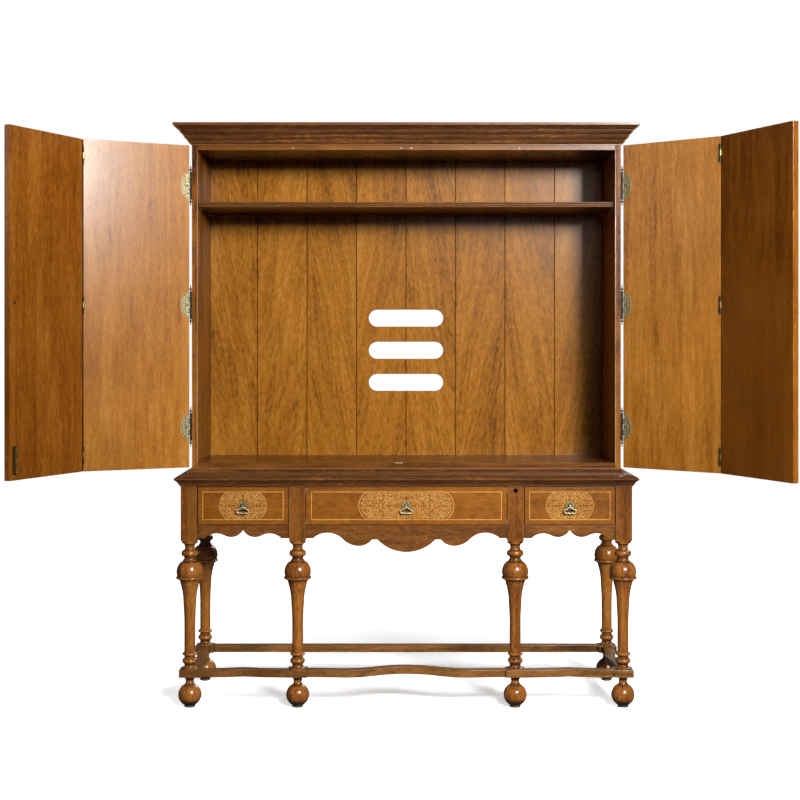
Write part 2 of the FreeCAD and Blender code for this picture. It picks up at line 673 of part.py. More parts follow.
def flap_fittings():
    """Pivot plates below and catch plates above, on the ends of the middle drawer's sides."""
    side = CENTRE_OPENING - DRAWER_SIDE_GAP
    flap_end = CENTRE_OPENING - FLAP_END_GAP
    inner = flap_end + FLAP_PLATE_CLEARANCE
    outer = inner + FLAP_PLATE
    y, z = flap_pivot()
    foot_y = (Y_DRAWER_BOX + FLAP_PLATE_INSET, Y_DRAWER_BOX + FLAP_PLATE_LENGTH)
    low = (Z_DRAWER_BOX + FLAP_PLATE_INSET, Z_DRAWER_BOX + FLAP_PLATE_INSET + FLAP_PLATE_HEIGHT)
    top = Z_TOP_UNDERSIDE - CENTRE_SIDE_DROP - FLAP_PLATE_INSET
    plates = []
    for heights in (low, (top - FLAP_PLATE_HEIGHT, top)):
        blade = box((inner, outer), (Y_DRAWER_FRONT + FLAP_PLATE_INSET, foot_y[1]), heights)
        plates.append(joined([blade, box((side, outer), foot_y, heights)]))
    pin = rod(FLAP_PIN_RADIUS, (inner + FLAP_PLATE / 2, y, z), (flap_end - FLAP_PIN_LENGTH + 0.5, y, z))
    plates[0] = joined([plates[0], pin])
    return pair(plates[0]) + pair(plates[1])


# ---- Pulls
def fork(x, y_plate, z, plate):
    """A plate with two cheeks and the pin between them; the pivot stands in front of it."""
    y = y_plate - FORK_REACH
    half = FORK_OPENING / 2
    cheek = joined(
        [
            rod(FORK_RADIUS, (x + half, y, z), (x + half + FORK_CHEEK, y, z)),
            box((x + half, x + half + FORK_CHEEK), (y, y_plate), (z - FORK_RADIUS, z + FORK_RADIUS)),
        ]
    )
    other = moved(cheek, x=-FORK_OPENING - FORK_CHEEK)
    pin = rod(FORK_PIN_RADIUS, (x - half - FORK_CHEEK, y, z), (x + half + FORK_CHEEK, y, z))
    return joined([plate, cheek, other, pin])


def eyelet(x, y, z):
    """Ring end that turns on a fork's pin, before its bore is cut."""
    half = EYELET_WIDTH / 2
    return rod(EYELET_RADIUS, (x - half, y, z), (x + half, y, z))


def eyelet_bore(x, y, z):
    return rod(FORK_PIN_RADIUS + EYELET_RUNNING, (x - EYELET_WIDTH, y, z), (x + EYELET_WIDTH, y, z))


def drawer_pull(x):
    """Rose with its fork, and the three-lobed bail that hangs on it, for the drawer at x."""
    z = (Z_DRAWER + Z_TOP_UNDERSIDE) / 2 + 1.5
    y_plate = Y_DRAWER_FRONT - ROSE_THICKNESS
    rose = rod(ROSE_RADIUS, (x, y_plate, z), (x, Y_DRAWER_FRONT, z))
    low_lobe = ROSE_RADIUS * 0.62
    for side in (-1, 1):
        lobe_x, lobe_z = x + side * low_lobe, z - ROSE_RADIUS
        rose = rose.fuse(rod(low_lobe, (lobe_x, y_plate, lobe_z), (lobe_x, Y_DRAWER_FRONT, lobe_z)))
    rose = fork(x, y_plate, z, rose.removeSplitter())
    return rose, bail(x, y_plate - FORK_REACH, z)


def bail(x, y, z):
    """Loop of round wire: narrow at its eyelet, with a lobe each side and one below."""
    reach = BAIL_WIDTH / 2 - BAIL_WIRE
    bottom = -(BAIL_DROP - BAIL_WIRE)
    half = [
        (0.0, -FORK_RADIUS - BAIL_WIRE - 0.6),
        (0.42 * reach, 0.40 * bottom),
        (0.90 * reach, 0.58 * bottom),
        (reach, 0.76 * bottom),
        (0.66 * reach, 0.95 * bottom),
        (0.30 * reach, 0.92 * bottom),
        (0.0, bottom),
    ]
    loop = half + [(-u, v) for u, v in reversed(half[1:-1])]
    pieces = [eyelet(x, y, z), rod(EYELET_WIDTH / 2 - 0.2, (x, y, z), (x, y, z + half[0][1]))]
    for (u0, v0), (u1, v1) in zip(loop, loop[1:] + loop[:1]):
        pieces.append(rod(BAIL_WIRE, (x + u0, y, z + v0), (x + u1, y, z + v1)))
        pieces.append(Part.makeSphere(BAIL_WIRE, Vector(x + u1, y, z + v1)))
    return joined(pieces).cut(eyelet_bore(x, y, z))


def pull_x():
    return MEETING_GAP / 2 + PULL_EDGE


def door_pull_plate():
    """Long backplate outside a shut right door, with its fork and its screw through the door."""
    x, z = pull_x(), Z_FLOOR + PULL_HEIGHT
    y = Y_DOOR_OUTER - PULL_PLATE_THICKNESS
    half_width, half_height = PULL_PLATE_WIDTH / 2, PULL_PLATE_HEIGHT / 2
    waist, shoulder = 0.34 * half_width, 0.42 * half_height
    right = [
        (0.0, half_height),
        (waist, 0.80 * half_height, -1.0),
        (0.8 * half_width, shoulder, 1.5),
        (waist, 0.22 * half_height, -1.0),
        (waist, -0.22 * half_height, half_width - waist),
        (0.8 * half_width, -shoulder, -1.0),
        (waist, -0.80 * half_height, 1.5),
        (0.0, -half_height, -1.0),
    ]
    outline = right + reversed_steps(right, flip_u=True)[1:]
    plate = face(outline, lambda u, v: Vector(x + u, y, z + v))
    plate = plate.extrude(Vector(0, PULL_PLATE_THICKNESS, 0))
    screw = rod(PULL_SCREW_RADIUS, (x, y, z), (x, Y_DOOR_INNER, z))
    head = rod(PULL_SCREW_HEAD[0], (x, Y_DOOR_INNER - PULL_SCREW_HEAD[1], z), (x, Y_DOOR_INNER, z))
    return joined([fork(x, y, z, plate), screw, head])


def door_screw_hole():
    x, z = pull_x(), Z_FLOOR + PULL_HEIGHT
    shank = rod(PULL_SCREW_RADIUS, (x, Y_DOOR_OUTER, z), (x, Y_DOOR_INNER, z))
    sink = rod(PULL_SCREW_HEAD[0], (x, Y_DOOR_INNER - PULL_SCREW_HEAD[1], z), (x, Y_DOOR_INNER, z))
    return shank.fuse(sink)


def drop_pull():
    """Teardrop that hangs on a door's backplate."""
    x, z = pull_x(), Z_FLOOR + PULL_HEIGHT
    y = Y_DOOR_OUTER - PULL_PLATE_THICKNESS - FORK_REACH
    steps = [
        (1.7, z),
        (1.7, z - FORK_RADIUS - 1.5),
        (2.6, z - TEARDROP_LENGTH * 0.35, -0.4),
        (TEARDROP_RADIUS, z - TEARDROP_LENGTH * 0.72, -1.2),
        (2.0, z - TEARDROP_LENGTH + 3.0, 2.6),
        (1.0, z - TEARDROP_LENGTH, 1.0),
    ]
    return joined([eyelet(x, y, z), lathe(steps, x, y)]).cut(eyelet_bore(x, y, z))


# ---- Case
def base_moulding():
    """Mitred moulding round the foot of the case."""
    profile = [
        (0.0, 0.0),
        (BASE_PROJECTION, 0.0),
        (BASE_PROJECTION, BASE_TOE),
        (2.0, BASE_HEIGHT - 1.0, 1.4),
        (2.0, BASE_HEIGHT),
        (0.0, BASE_HEIGHT),
    ]
    return mitred(profile, X_CASE, Y_CASE, Y_BACK, BASE_PROJECTION, Z_CASE)


def crown_moulding():
    """Mitred crown: three reeds, a long slope and a square edge."""
    slope = CROWN_PROJECTION - 2.0
    top = CROWN_HEIGHT - CROWN_FILLET
    reeds = [(0.0, 0.0), (3.0, 0.0), (3.0, 2.0)]
    reed_ends = [(14.0, 16.4), (26.0, 32.0), (37.0, 46.5)]
    for u, v in reed_ends:
        reeds += [(u, v - 1.0, -2.4), (u + 1.5, v + 0.8)]
    profile = reeds + [(slope, top), (CROWN_PROJECTION, top)]
    profile += [(CROWN_PROJECTION, CROWN_HEIGHT), (0.0, CROWN_HEIGHT)]
    return mitred(profile, X_CASE, Y_CASE, Y_BACK, CROWN_PROJECTION, Z_CROWN)


def case_side():
    """Right side of the case, with its shelf pin holes and its hinge mortises."""
    side = box((X_BAY, X_CASE), (Y_CASE, Y_BACK), (Z_CASE, Z_CROWN_TOP - CASE_SIDE_TOP_GAP))
    for y in pin_places():
        side = side.cut(shelf_pin(y, PIN_RADIUS + PIN_BORE_CLEARANCE, PIN_BORE_CLEARANCE))
    for z in Z_CASE_HINGES:
        side = side.cut(case_leaf(z))
    return side


def case_rails():
    """Rails between the sides: in front of and behind the plinth, and behind the crown."""
    bay = (-X_BAY, X_BAY)
    front, back = (Y_CASE, Y_CASE + RAIL), (Y_BOARDS - RAIL, Y_BOARDS)
    return [
        box(bay, front, (Z_CASE, Z_FLOOR_UNDERSIDE)),
        box(bay, back, (Z_CASE, Z_FLOOR_UNDERSIDE)),
        box(bay, front, (Z_CASE_TOP, Z_CROWN_TOP - CASE_SIDE_TOP_GAP)),
    ]


def strike_corners(grow=0.0):
    x = (-BOLT_OFFSET - STRIKE_WIDTH / 2 - grow, -BOLT_OFFSET + STRIKE_WIDTH / 2 + grow)
    return x, (Y_CASE, Y_CASE + STRIKE_DEPTH + grow), (Z_FLOOR - BOLT_PLATE, Z_FLOOR)


def bolt_hole():
    y = Y_DOOR_INNER + BOLT_ROD_RISE
    radius = BOLT_ROD_RADIUS + 0.6
    return rod(radius, (-BOLT_OFFSET, y, Z_FLOOR - BOLT_THROW), (-BOLT_OFFSET, y, Z_FLOOR))


def case_floor():
    floor = box((-X_BAY, X_BAY), (Y_CASE, Y_BOARDS), (Z_FLOOR_UNDERSIDE, Z_FLOOR))
    return floor.cut(box(*strike_corners())).cut(bolt_hole())


def bolt_strike():
    """Plate in the floor's front edge that takes the slide bolt."""
    return box(*strike_corners()).cut(bolt_hole())


def case_top():
    return box((-X_BAY, X_BAY), (Y_CASE, Y_BOARDS), (Z_CEILING, Z_CASE_TOP))


def cable_slots():
    """Round-ended slots through the two middle back boards."""
    straight = (SLOT_LENGTH - SLOT_HEIGHT) / 2
    depth = (Y_BOARDS - 1, Y_BOARDS_BACK + 1)
    slots = []
    for index in range(SLOT_COUNT):
        z = Z_FLOOR + LOWEST_SLOT + index * SLOT_PITCH
        middle = box((-straight, straight), depth, (z - SLOT_HEIGHT / 2, z + SLOT_HEIGHT / 2))
        ends = [rod(SLOT_HEIGHT / 2, (x, depth[0], z), (x, depth[1], z)) for x in (-straight, straight)]
        slots.append(joined([middle] + ends))
    return slots


def back_board(x0, x1):
    """One upright board, with its front corners eased where it meets the next."""
    outline = [(x0, Y_BOARDS_BACK), (x0, Y_BOARDS + GROOVE), (x0 + GROOVE, Y_BOARDS)]
    outline += [(x1 - GROOVE, Y_BOARDS), (x1, Y_BOARDS + GROOVE), (x1, Y_BOARDS_BACK)]
    return prism(outline, Z_FLOOR_UNDERSIDE, Z_CASE_TOP)


def back_boards():
    """The plain boards and the slotted ones, from left to right."""
    half = BACK_BOARD_COUNT // 2
    places = [index * BACK_GROOVE_PITCH for index in range(-half, half + 1)]
    places[0], places[-1] = -X_BAY, X_BAY
    plain, slotted = [], []
    slots = cable_slots()
    for x0, x1 in zip(places, places[1:]):
        board = back_board(x0, x1)
        if min(abs(x0), abs(x1)) > SLOT_LENGTH / 2:
            plain.append(board)
            continue
        for slot in slots:
            board = board.cut(slot)
        slotted.append(board)
    return plain, slotted


def shelf_depth():
    return Y_CASE + SHELF_SETBACK, Y_BOARDS - 1.0


def shelf():
    """Board with a reeded front edge."""
    y0, y1 = shelf_depth()
    z0 = Z_FLOOR + SHELF_HEIGHT
    x = X_BAY - SHELF_END_GAP
    radius = SHELF_THICKNESS / SHELF_REEDS / 2
    pieces = [box((-x, x), (y0 + radius, y1), (z0, z0 + SHELF_THICKNESS))]
    for index in range(SHELF_REEDS):
        z = z0 + (2 * index + 1) * radius
        pieces.append(rod(radius, (-x, y0 + radius, z), (x, y0 + radius, z)))
    return joined(pieces)


def pin_places():
    y0, y1 = shelf_depth()
    return y0 + PIN_INSET, y1 - PIN_INSET


def shelf_pin(y, radius, extra=0.0):
    """Pin in the right side, under the shelf."""
    z = Z_FLOOR + SHELF_HEIGHT - PIN_RADIUS
    return rod(radius, (X_BAY - PIN_REACH, y, z), (X_BAY + PIN_REACH + extra, y, z))


def door_bumpers():
    """Small pads on the top's front edge that the doors shut against."""
    z = Z_CEILING + BUMPER_RISE
    pads = [rod(BUMPER_RADIUS, (x, Y_CASE - BUMPER_HEIGHT, z), (x, Y_CASE, z)) for x in BUMPER_OFFSETS]
    return [bumper for one in pads for bumper in pair(one)]


# ---- Case hinges, drawn on the right with the doors shut
def knuckles(x, y, z, height, radius, count, own):
    """The barrels of one leaf: own is 0 for the first, third and fifth, 1 for the others."""
    length = height / count
    pieces = []
    for index in range(own, count, 2):
        low = z - height / 2 + index * length + (KNUCKLE_GAP / 2 if index else 0)
        high = z - height / 2 + (index + 1) * length - (KNUCKLE_GAP / 2 if index < count - 1 else 0)
        pieces.append(rod(radius, (x, y, low), (x, y, high)))
    return pieces


def half_oval(place, z, sign):
    """Half-oval outline of a leaf, CASE_LEAF_WIDTH deep and CASE_LEAF_HEIGHT high."""
    half = CASE_LEAF_HEIGHT / 2
    bulge = CASE_LEAF_WIDTH * 0.32
    edge = [(0.0, -half), (CASE_LEAF_WIDTH, 0.0, -bulge), (0.0, half, -bulge)]
    steps = [(sign * step[0], z + step[1], *[sign * b for b in step[2:]]) for step in edge]
    return face(steps, place)


def case_leaf(z):
    """Leaf let into the outside of the case's right side, without its barrels."""
    x = X_CASE - LEAF + LEAF_RISE
    leaf = half_oval(lambda u, v: Vector(x, Y_CASE + u, v), z, 1)
    return leaf.extrude(Vector(LEAF, 0, 0))


def tab(x0, x1, y0, y1, barrel):
    """Neck between a leaf and one barrel, as long as the barrel."""
    bounds = barrel.BoundBox
    return box((x0, x1), (y0, y1), (bounds.ZMin, bounds.ZMax))


def finial(z, up):
    """Turned end of a hinge pin."""
    sign = 1 if up else -1
    steps = [
        (KNUCKLE_RADIUS, z),
        (KNUCKLE_RADIUS * 0.5, z + sign * 2.5, sign * 0.5),
        (KNUCKLE_RADIUS * 0.55, z + sign * 3.5),
        (KNUCKLE_RADIUS * 0.55, z + sign * 10.5, -sign * 2.2),
        (KNUCKLE_RADIUS * 0.4, z + sign * 12.0, sign * 0.3),
        (0.6, z + sign * FINIAL_LENGTH, -sign * 0.8),
    ]
    return lathe(steps, X_PIN, Y_CASE)


def fixed_case_hinge(z):
    """Case leaf, its three barrels, and the pin with its finials."""
    half = CASE_LEAF_HEIGHT / 2
    barrels = knuckles(X_PIN, Y_CASE, z, CASE_LEAF_HEIGHT, KNUCKLE_RADIUS, KNUCKLE_COUNT, 0)
    necks = [tab(X_CASE, X_PIN, Y_CASE, Y_CASE + NECK, barrel) for barrel in barrels]
    pin = rod(HINGE_PIN_RADIUS, (X_PIN, Y_CASE, z - half), (X_PIN, Y_CASE, z + half))
    ends = [finial(z + half, True), finial(z - half, False)]
    return joined([case_leaf(z), pin] + barrels + necks + ends)


def door_leaf(z):
    """Leaf let in flush with the shut door's inner face, without its barrels."""
    leaf = half_oval(lambda u, v: Vector(X_CASE + u, Y_DOOR_INNER - LEAF, v), z, -1)
    return leaf.extrude(Vector(0, LEAF, 0))


def moving_case_hinge(z):
    """Door leaf and its two barrels, bored for the pin."""
    barrels = knuckles(X_PIN, Y_CASE, z, CASE_LEAF_HEIGHT, KNUCKLE_RADIUS, KNUCKLE_COUNT, 1)
    necks = [tab(X_CASE - NECK, X_PIN, Y_DOOR_INNER - LEAF, Y_DOOR_INNER, barrel) for barrel in barrels]
    half = CASE_LEAF_HEIGHT / 2
    bore = rod(HINGE_PIN_RADIUS + HINGE_RUNNING, (X_PIN, Y_CASE, z - half), (X_PIN, Y_CASE, z + half))
    return joined([door_leaf(z)] + barrels + necks).cut(bore)


# ---- Fold hinges, drawn on the right with the doors shut
def fold_leaf(z, edge, inward):
    """Leaf let into a panel's edge; inward points into the panel along X."""
    x = (edge, edge + inward * FOLD_LEAF)
    y = (Y_DOOR_INNER - FOLD_LEAF_WIDTH, Y_DOOR_INNER)
    return box(x, y, (z - FOLD_LEAF_HEIGHT / 2, z + FOLD_LEAF_HEIGHT / 2))


def fold_hinge(z, edge, inward, own):
    """One leaf of a fold hinge with its barrels, and the pin if it holds it."""
    half = FOLD_LEAF_HEIGHT / 2
    barrels = knuckles(X_FOLD, Y_FOLD, z, FOLD_LEAF_HEIGHT, FOLD_KNUCKLE_RADIUS, 3, own)
    root = edge + inward * FOLD_LEAF
    necks = [tab(X_FOLD, root, Y_DOOR_INNER - FOLD_LEAF, Y_FOLD, barrel) for barrel in barrels]
    hinge = joined([fold_leaf(z, edge, inward)] + barrels + necks)
    line = ((X_FOLD, Y_FOLD, z - half), (X_FOLD, Y_FOLD, z + half))
    if own:
        return hinge.cut(rod(FOLD_PIN_RADIUS + HINGE_RUNNING, *line))
    return hinge.fuse(rod(FOLD_PIN_RADIUS, *line)).removeSplitter()


# ---- Doors, drawn on the right and shut, then opened
def door_board(x0, x1):
    return box((x0, x1), (Y_DOOR_OUTER, Y_DOOR_INNER), (Z_DOOR, Z_DOOR + DOOR_HEIGHT))


def inner_panel():
    """Panel on the case hinges, with mortises for its leaves."""
    panel = door_board(X_INNER_PANEL, X_CASE)
    for z in Z_CASE_HINGES:
        panel = panel.cut(door_leaf(z))
    for z in Z_FOLD_HINGES:
        panel = panel.cut(fold_leaf(z, X_INNER_PANEL, 1))
    return panel


def outer_panel():
    """Panel on the fold hinges, with the hole for its pull."""
    panel = door_board(MEETING_GAP / 2, X_OUTER_PANEL)
    for z in Z_FOLD_HINGES:
        panel = panel.cut(fold_leaf(z, X_OUTER_PANEL, -1))
    return panel.cut(door_screw_hole())


def inner_fittings():
    case_hinges = [moving_case_hinge(z) for z in Z_CASE_HINGES]
    fold_hinges = [fold_hinge(z, X_INNER_PANEL, 1, 0) for z in Z_FOLD_HINGES]
    return case_hinges + fold_hinges


def outer_fittings():
    return [fold_hinge(z, X_OUTER_PANEL, -1, 1) for z in Z_FOLD_HINGES]


def slide_bolt():
    """Surface bolt on the outer panel: a plate with three guides, and the rod with its knob."""
    x, y_rod = BOLT_OFFSET, Y_DOOR_INNER + BOLT_ROD_RISE
    z0 = Z_FLOOR + BOLT_FLOOR_GAP
    z1 = z0 + BOLT_LENGTH
    half = BOLT_WIDTH / 2
    plate = box((x - half, x + half), (Y_DOOR_INNER, Y_DOOR_INNER + BOLT_PLATE), (z0, z1))
    bridge = BOLT_ROD_RADIUS + 2.0
    guides = []
    for low in (z0 + 1, z0 + 34, z1 - 1 - BOLT_GUIDE):
        post = box((x - bridge, x + bridge), (Y_DOOR_INNER, y_rod), (low, low + BOLT_GUIDE))
        guides += [post, rod(bridge, (x, y_rod, low), (x, y_rod, low + BOLT_GUIDE))]
    running = BOLT_ROD_RADIUS + BOLT_RUNNING
    body = joined([plate] + guides).cut(rod(running, (x, y_rod, z0 - 1), (x, y_rod, z1 + 1)))
    shaft = rod(BOLT_ROD_RADIUS, (x, y_rod, z0), (x, y_rod, z1 - 1))
    knob_z = z0 + 58
    neck = rod(1.6, (x, y_rod, knob_z), (x, y_rod + BOLT_ROD_RADIUS + 2.5, knob_z))
    knob = Part.makeSphere(BOLT_KNOB_RADIUS, Vector(x, y_rod + BOLT_ROD_RADIUS + 4.5, knob_z))
    return body, joined([shaft, neck, knob])


def opened(shape, side, outer):
    """A shut right-hand piece moved to where it stands on that side, doors open."""
    swing, fold = (LEFT_SWING, LEFT_FOLD) if side == "left" else (RIGHT_SWING, RIGHT_FOLD)
    if outer:
        shape = turned(shape, X_FOLD, Y_FOLD, -fold)
    shape = turned(shape, X_PIN, Y_CASE, swing)
    return mirrored(shape) if side == "left" else shape


def save_doors():
    pull = door_pull_plate()
    for side in ("left", "right"):
        save(f"{side}_inner_door", [opened(inner_panel(), side, False)])
        save(f"{side}_inner_door_hinges", [opened(one, side, False) for one in inner_fittings()])
        save(f"{side}_outer_door", [opened(outer_panel(), side, True)])
        save(f"{side}_outer_door_hinges", [opened(one, side, True) for one in outer_fittings()])
        save(f"{side}_pull_plate", [opened(pull, side, True)])
        save(f"{side}_drop_pull", [opened(drop_pull(), side, True)])
    body, bolt_rod = slide_bolt()
    save("slide_bolt_body", [opened(body, "left", True)])
    save("slide_bolt_rod", [opened(bolt_rod, "left", True)])


def save_drawers():
    x0, x1 = SIDE_OPENING[0] + DRAWER_SIDE_GAP, SIDE_OPENING[1] - DRAWER_SIDE_GAP
    middle = sum(SIDE_OPENING) / 2
    for side, sign in (("left", -1), ("right", 1)):
        flip = mirrored if sign < 0 else (lambda shape: shape)
        save(f"{side}_drawer_front", [flip(side_drawer_front())])
        save(f"{side}_drawer_box", [flip(board) for board in drawer_box(x0, x1, Y_DRAWER_BOX, DRAWER_SIDE_DROP)])
        rose, ring = drawer_pull(sign * middle)
        save(f"{side}_drawer_rose", [rose])
        save(f"{side}_drawer_bail", [ring])
    x = CENTRE_OPENING - DRAWER_SIDE_GAP
    rose, ring = drawer_pull(0.0)
    save("centre_drawer_box", drawer_box(-x, x, Y_DRAWER_BOX + FLAP_BACK_GAP, CENTRE_SIDE_DROP))
    save("centre_flap_fittings", flap_fittings())
    save("centre_fall_front", [fall_front()])
    save("centre_drawer_rose", [rose])
    save("centre_drawer_bail", [ring])


def save_stand():
    for name, (x, y) in LEGS.items():
        piece = leg(x, y)
        save(name, [piece.cut(eye_hole()) if name == "right_inner_leg" else piece])
    save("ball_feet", [foot(x, y) for x, y in LEGS.values()])
    save("foot_glides", [glide(x, y) for x, y in LEGS.values()])
    save("front_stretcher", [front_stretcher()])
    save("rear_stretcher", [rear_stretcher()])
    save("side_stretchers", pair(side_stretcher()))
    save("front_aprons", front_aprons())
    save("end_panels", pair(end_panel()))
    save("stand_back_panel", [stand_back()])
    save("drawer_dividers", pair(divider()))
    save("drawer_runners", drawer_runners())
    save("stand_top", [stand_top()])
    save("remote_eye", [remote_eye()])


def save_case():
    plain, slotted = back_boards()
    save("case_left_side", [mirrored(case_side())])
    save("case_right_side", [case_side()])
    save("case_floor", [case_floor()])
    save("case_top", [case_top()])
    save("case_rails", case_rails())
    save("back_boards", plain)
    save("slotted_back_boards", slotted)
    save("crown_moulding", crown_moulding())
    save("base_moulding", base_moulding())
    save("shelf", [shelf()])
    save("shelf_pins", [pin for y in pin_places() for pin in pair(shelf_pin(y, PIN_RADIUS))])
    save("door_bumpers", door_bumpers())
    save("bolt_strike", [bolt_strike()])
    hinges = [fixed_case_hinge(z) for z in Z_CASE_HINGES]
    save("case_hinges", [one for hinge in hinges for one in pair(hinge)])


os.makedirs("parts", exist_ok=True)
save_stand()
save_drawers()
save_case()
save_doors()
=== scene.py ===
# %% [markdown]
# # Dressing a walnut media armoire
#
# The piece is a shallow case with two pairs of folding doors on a turned six-legged stand with
# three drawers. Its construction comes ready as a fixed frame of named solids. This lesson adds
# what a finisher adds: stained and lacquered walnut, inlaid line and seaweed marquetry, cast and
# rubbed brass, softened edges, and a small studio to see it in.
#
# Everything is in metres. X runs to the right of someone who faces the doors, Y from front to
# back, Z up.

# %% Load the construction
import json
import math
import random

import bmesh
import bpy
import numpy as np
from mathutils import Matrix, Vector

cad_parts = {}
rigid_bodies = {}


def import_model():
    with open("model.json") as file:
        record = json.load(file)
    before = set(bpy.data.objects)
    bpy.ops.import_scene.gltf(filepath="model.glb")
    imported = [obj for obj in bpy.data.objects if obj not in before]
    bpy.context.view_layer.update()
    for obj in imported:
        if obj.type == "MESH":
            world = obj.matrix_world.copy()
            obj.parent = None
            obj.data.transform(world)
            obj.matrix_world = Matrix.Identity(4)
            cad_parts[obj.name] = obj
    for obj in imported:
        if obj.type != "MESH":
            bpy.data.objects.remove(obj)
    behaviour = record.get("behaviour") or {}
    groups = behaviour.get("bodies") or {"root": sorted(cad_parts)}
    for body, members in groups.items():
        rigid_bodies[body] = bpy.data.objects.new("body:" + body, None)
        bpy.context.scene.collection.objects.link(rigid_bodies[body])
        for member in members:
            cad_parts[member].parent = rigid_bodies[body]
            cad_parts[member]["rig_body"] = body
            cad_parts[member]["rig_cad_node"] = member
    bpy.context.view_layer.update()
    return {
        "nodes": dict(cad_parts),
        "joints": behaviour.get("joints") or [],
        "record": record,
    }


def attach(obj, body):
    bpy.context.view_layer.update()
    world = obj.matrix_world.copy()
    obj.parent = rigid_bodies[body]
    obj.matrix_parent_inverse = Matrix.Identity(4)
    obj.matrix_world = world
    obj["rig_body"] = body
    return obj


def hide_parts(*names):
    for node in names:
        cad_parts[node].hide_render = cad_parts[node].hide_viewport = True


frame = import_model()
nodes = frame["nodes"]
MM = 0.001

# %% [markdown]
# ## Colours
#
# Colours are written as a painter's swatch book has them, in sRGB hex. The shader works in linear
# light, so one function turns each swatch into linear values.


# %% Swatches to linear light
def linear(swatch, alpha=1.0):
    """A hex swatch as a linear colour."""
    channels = [int(swatch[i : i + 2], 16) / 255 for i in (1, 3, 5)]
    return (*[c / 12.92 if c <= 0.04045 else ((c + 0.055) / 1.055) ** 2.4 for c in channels], alpha)


print("mid grey is", [round(c, 3) for c in linear("#808080")])

# %% [markdown]
# ## One helper for every shader node
#
# A material is a small network, and one function adds any node to it. Settings are named in small
# letters and sockets as the shader editor names them. Values without a name fill the node's
# sockets in order. What comes back is an output, ready for the next node.


# %% Adding a node
def add(tree, kind, *values, out=None, **named):
    """A new node with its settings and links; gives the output of this name, or its first one."""
    node = tree.nodes.new(f"ShaderNode{kind}")
    for name in filter(str.islower, named):
        setattr(node, name, named[name])
    sockets = list(zip([socket for socket in node.inputs if socket.enabled], values))
    sockets += [(node.inputs[name], value) for name, value in named.items() if not name.islower()]
    for socket, value in sockets:
        if isinstance(value, bpy.types.NodeSocket):
            tree.links.new(value, socket)
        else:
            socket.default_value = value
    return node.outputs[out] if out else next((s for s in node.outputs if s.enabled), None)


def started(name):
    """An empty material, its node tree, and the place on a piece in the piece's own coordinates."""
    material = bpy.data.materials.new(name)
    material.use_nodes = True
    tree = material.node_tree
    tree.nodes.clear()
    return material, tree, add(tree, "TexCoord", out="Object")


def surfaced(material, sockets):
    """The material with a surface whose sockets hold these values or links."""
    surface = add(material.node_tree, "BsdfPrincipled", **sockets)
    add(material.node_tree, "OutputMaterial", Surface=surface)
    return material


print("node helper ready")

# %% [markdown]
# ## Stained walnut
#
# Every board here is walnut, or walnut veneer, stained warm brown, rubbed with a darker glaze that
# stays in corners and pores, and closed with satin lacquer; the darkening in corners is painted shade
# as well. The eye reads four things, from large to small: stain that took unevenly over
# hand-widths, the contour lines where the saw crossed the growth rings, fibres and pores that run
# with the grain, and a mottle across it where the fibres wave.
#
# Solid noise can give all four, stretched along the grain. It needs no unwrapping, runs on through
# a board from face to edge as real wood does, and a row of glued boards differs where the noise
# jumps at each joint.

# %% Sizes in the wood
GRAIN_STRETCH = 11.0  # how much longer the figure is along the grain than across it
FIGURE_WIDTH = 85 * MM  # across one sweep of the growth rings
FIBRE_WIDTH = 4.6 * MM  # real fibres are far finer; this is as fine as a whole-piece view shows
FIBRE_STRETCH = 4.5
PORE_WIDTH = 1.3 * MM  # walnut's pores are 0.2 mm; drawn as the darker flecks they merge into
STREAK_WIDTH = 12 * MM
MOTTLE_SIZE = 26 * MM
STAIN_SIZE = 310 * MM
BOARD_SLANT = 0.16  # sideways run of the grain per length, left and right in turn
BOARD_JUMP = (0.37, 1.91, 0.83)  # metres in the noise from one board to the next
JOINT = (0.006, 0.013)  # half widths of a joint's dark line and of its fade, in board widths
SPECK_SIZE = 9 * MM
WEAR_HIGHLIGHT_REACH = 3 * MM  # how far from a sharp edge the polish is rubbed through and a highlight is painted pale
BLOCK_SHADE_FADE = 4 * MM  # the painted shade on the square blocks begins over this height
print(f"fibres {FIBRE_WIDTH / MM:.1f} mm wide, figure {FIGURE_WIDTH / MM:.0f} mm")

# %% The usual amounts
USUAL = {
    "grain": "Z",  # the axis the grain runs along
    "board": 0.0,  # width of the boards glued side by side; 0 is a single board
    "figure": 0.5,  # contrast of the growth rings
    "rings": 9.0,  # rings from the darkest place of a sweep to its palest
    "fibre": 0.62,  # contrast of the fibres
    "streak": 0.3,  # contrast of streaks along the grain
    "mottle": 0.08,  # contrast of the waves across it
    "stain": 0.26,  # contrast of the uneven stain
    "pores": 0.22,  # darkness of the pores
    "glaze": 0.0,  # share of dark glaze and painted shade in hollows
    "glaze_reach": 12 * MM,  # how near a wall makes a hollow that is painted darker
    "worn": 0.0,  # share rubbed pale on sharp edges, as wear and as a painted highlight
    "specks": 0.0,  # share of the finisher's dark specks
    "gloss": 0.28,  # roughness of the lacquer
    "specular": 0.2,
    "coat": 0.18,  # weight of the clear coat over it
    "blocks": 0.0,  # height above which a leg's square block is painted darker as shade
    "offset": 0.0,  # metres to another part of the log
}
print(len(USUAL), "amounts")


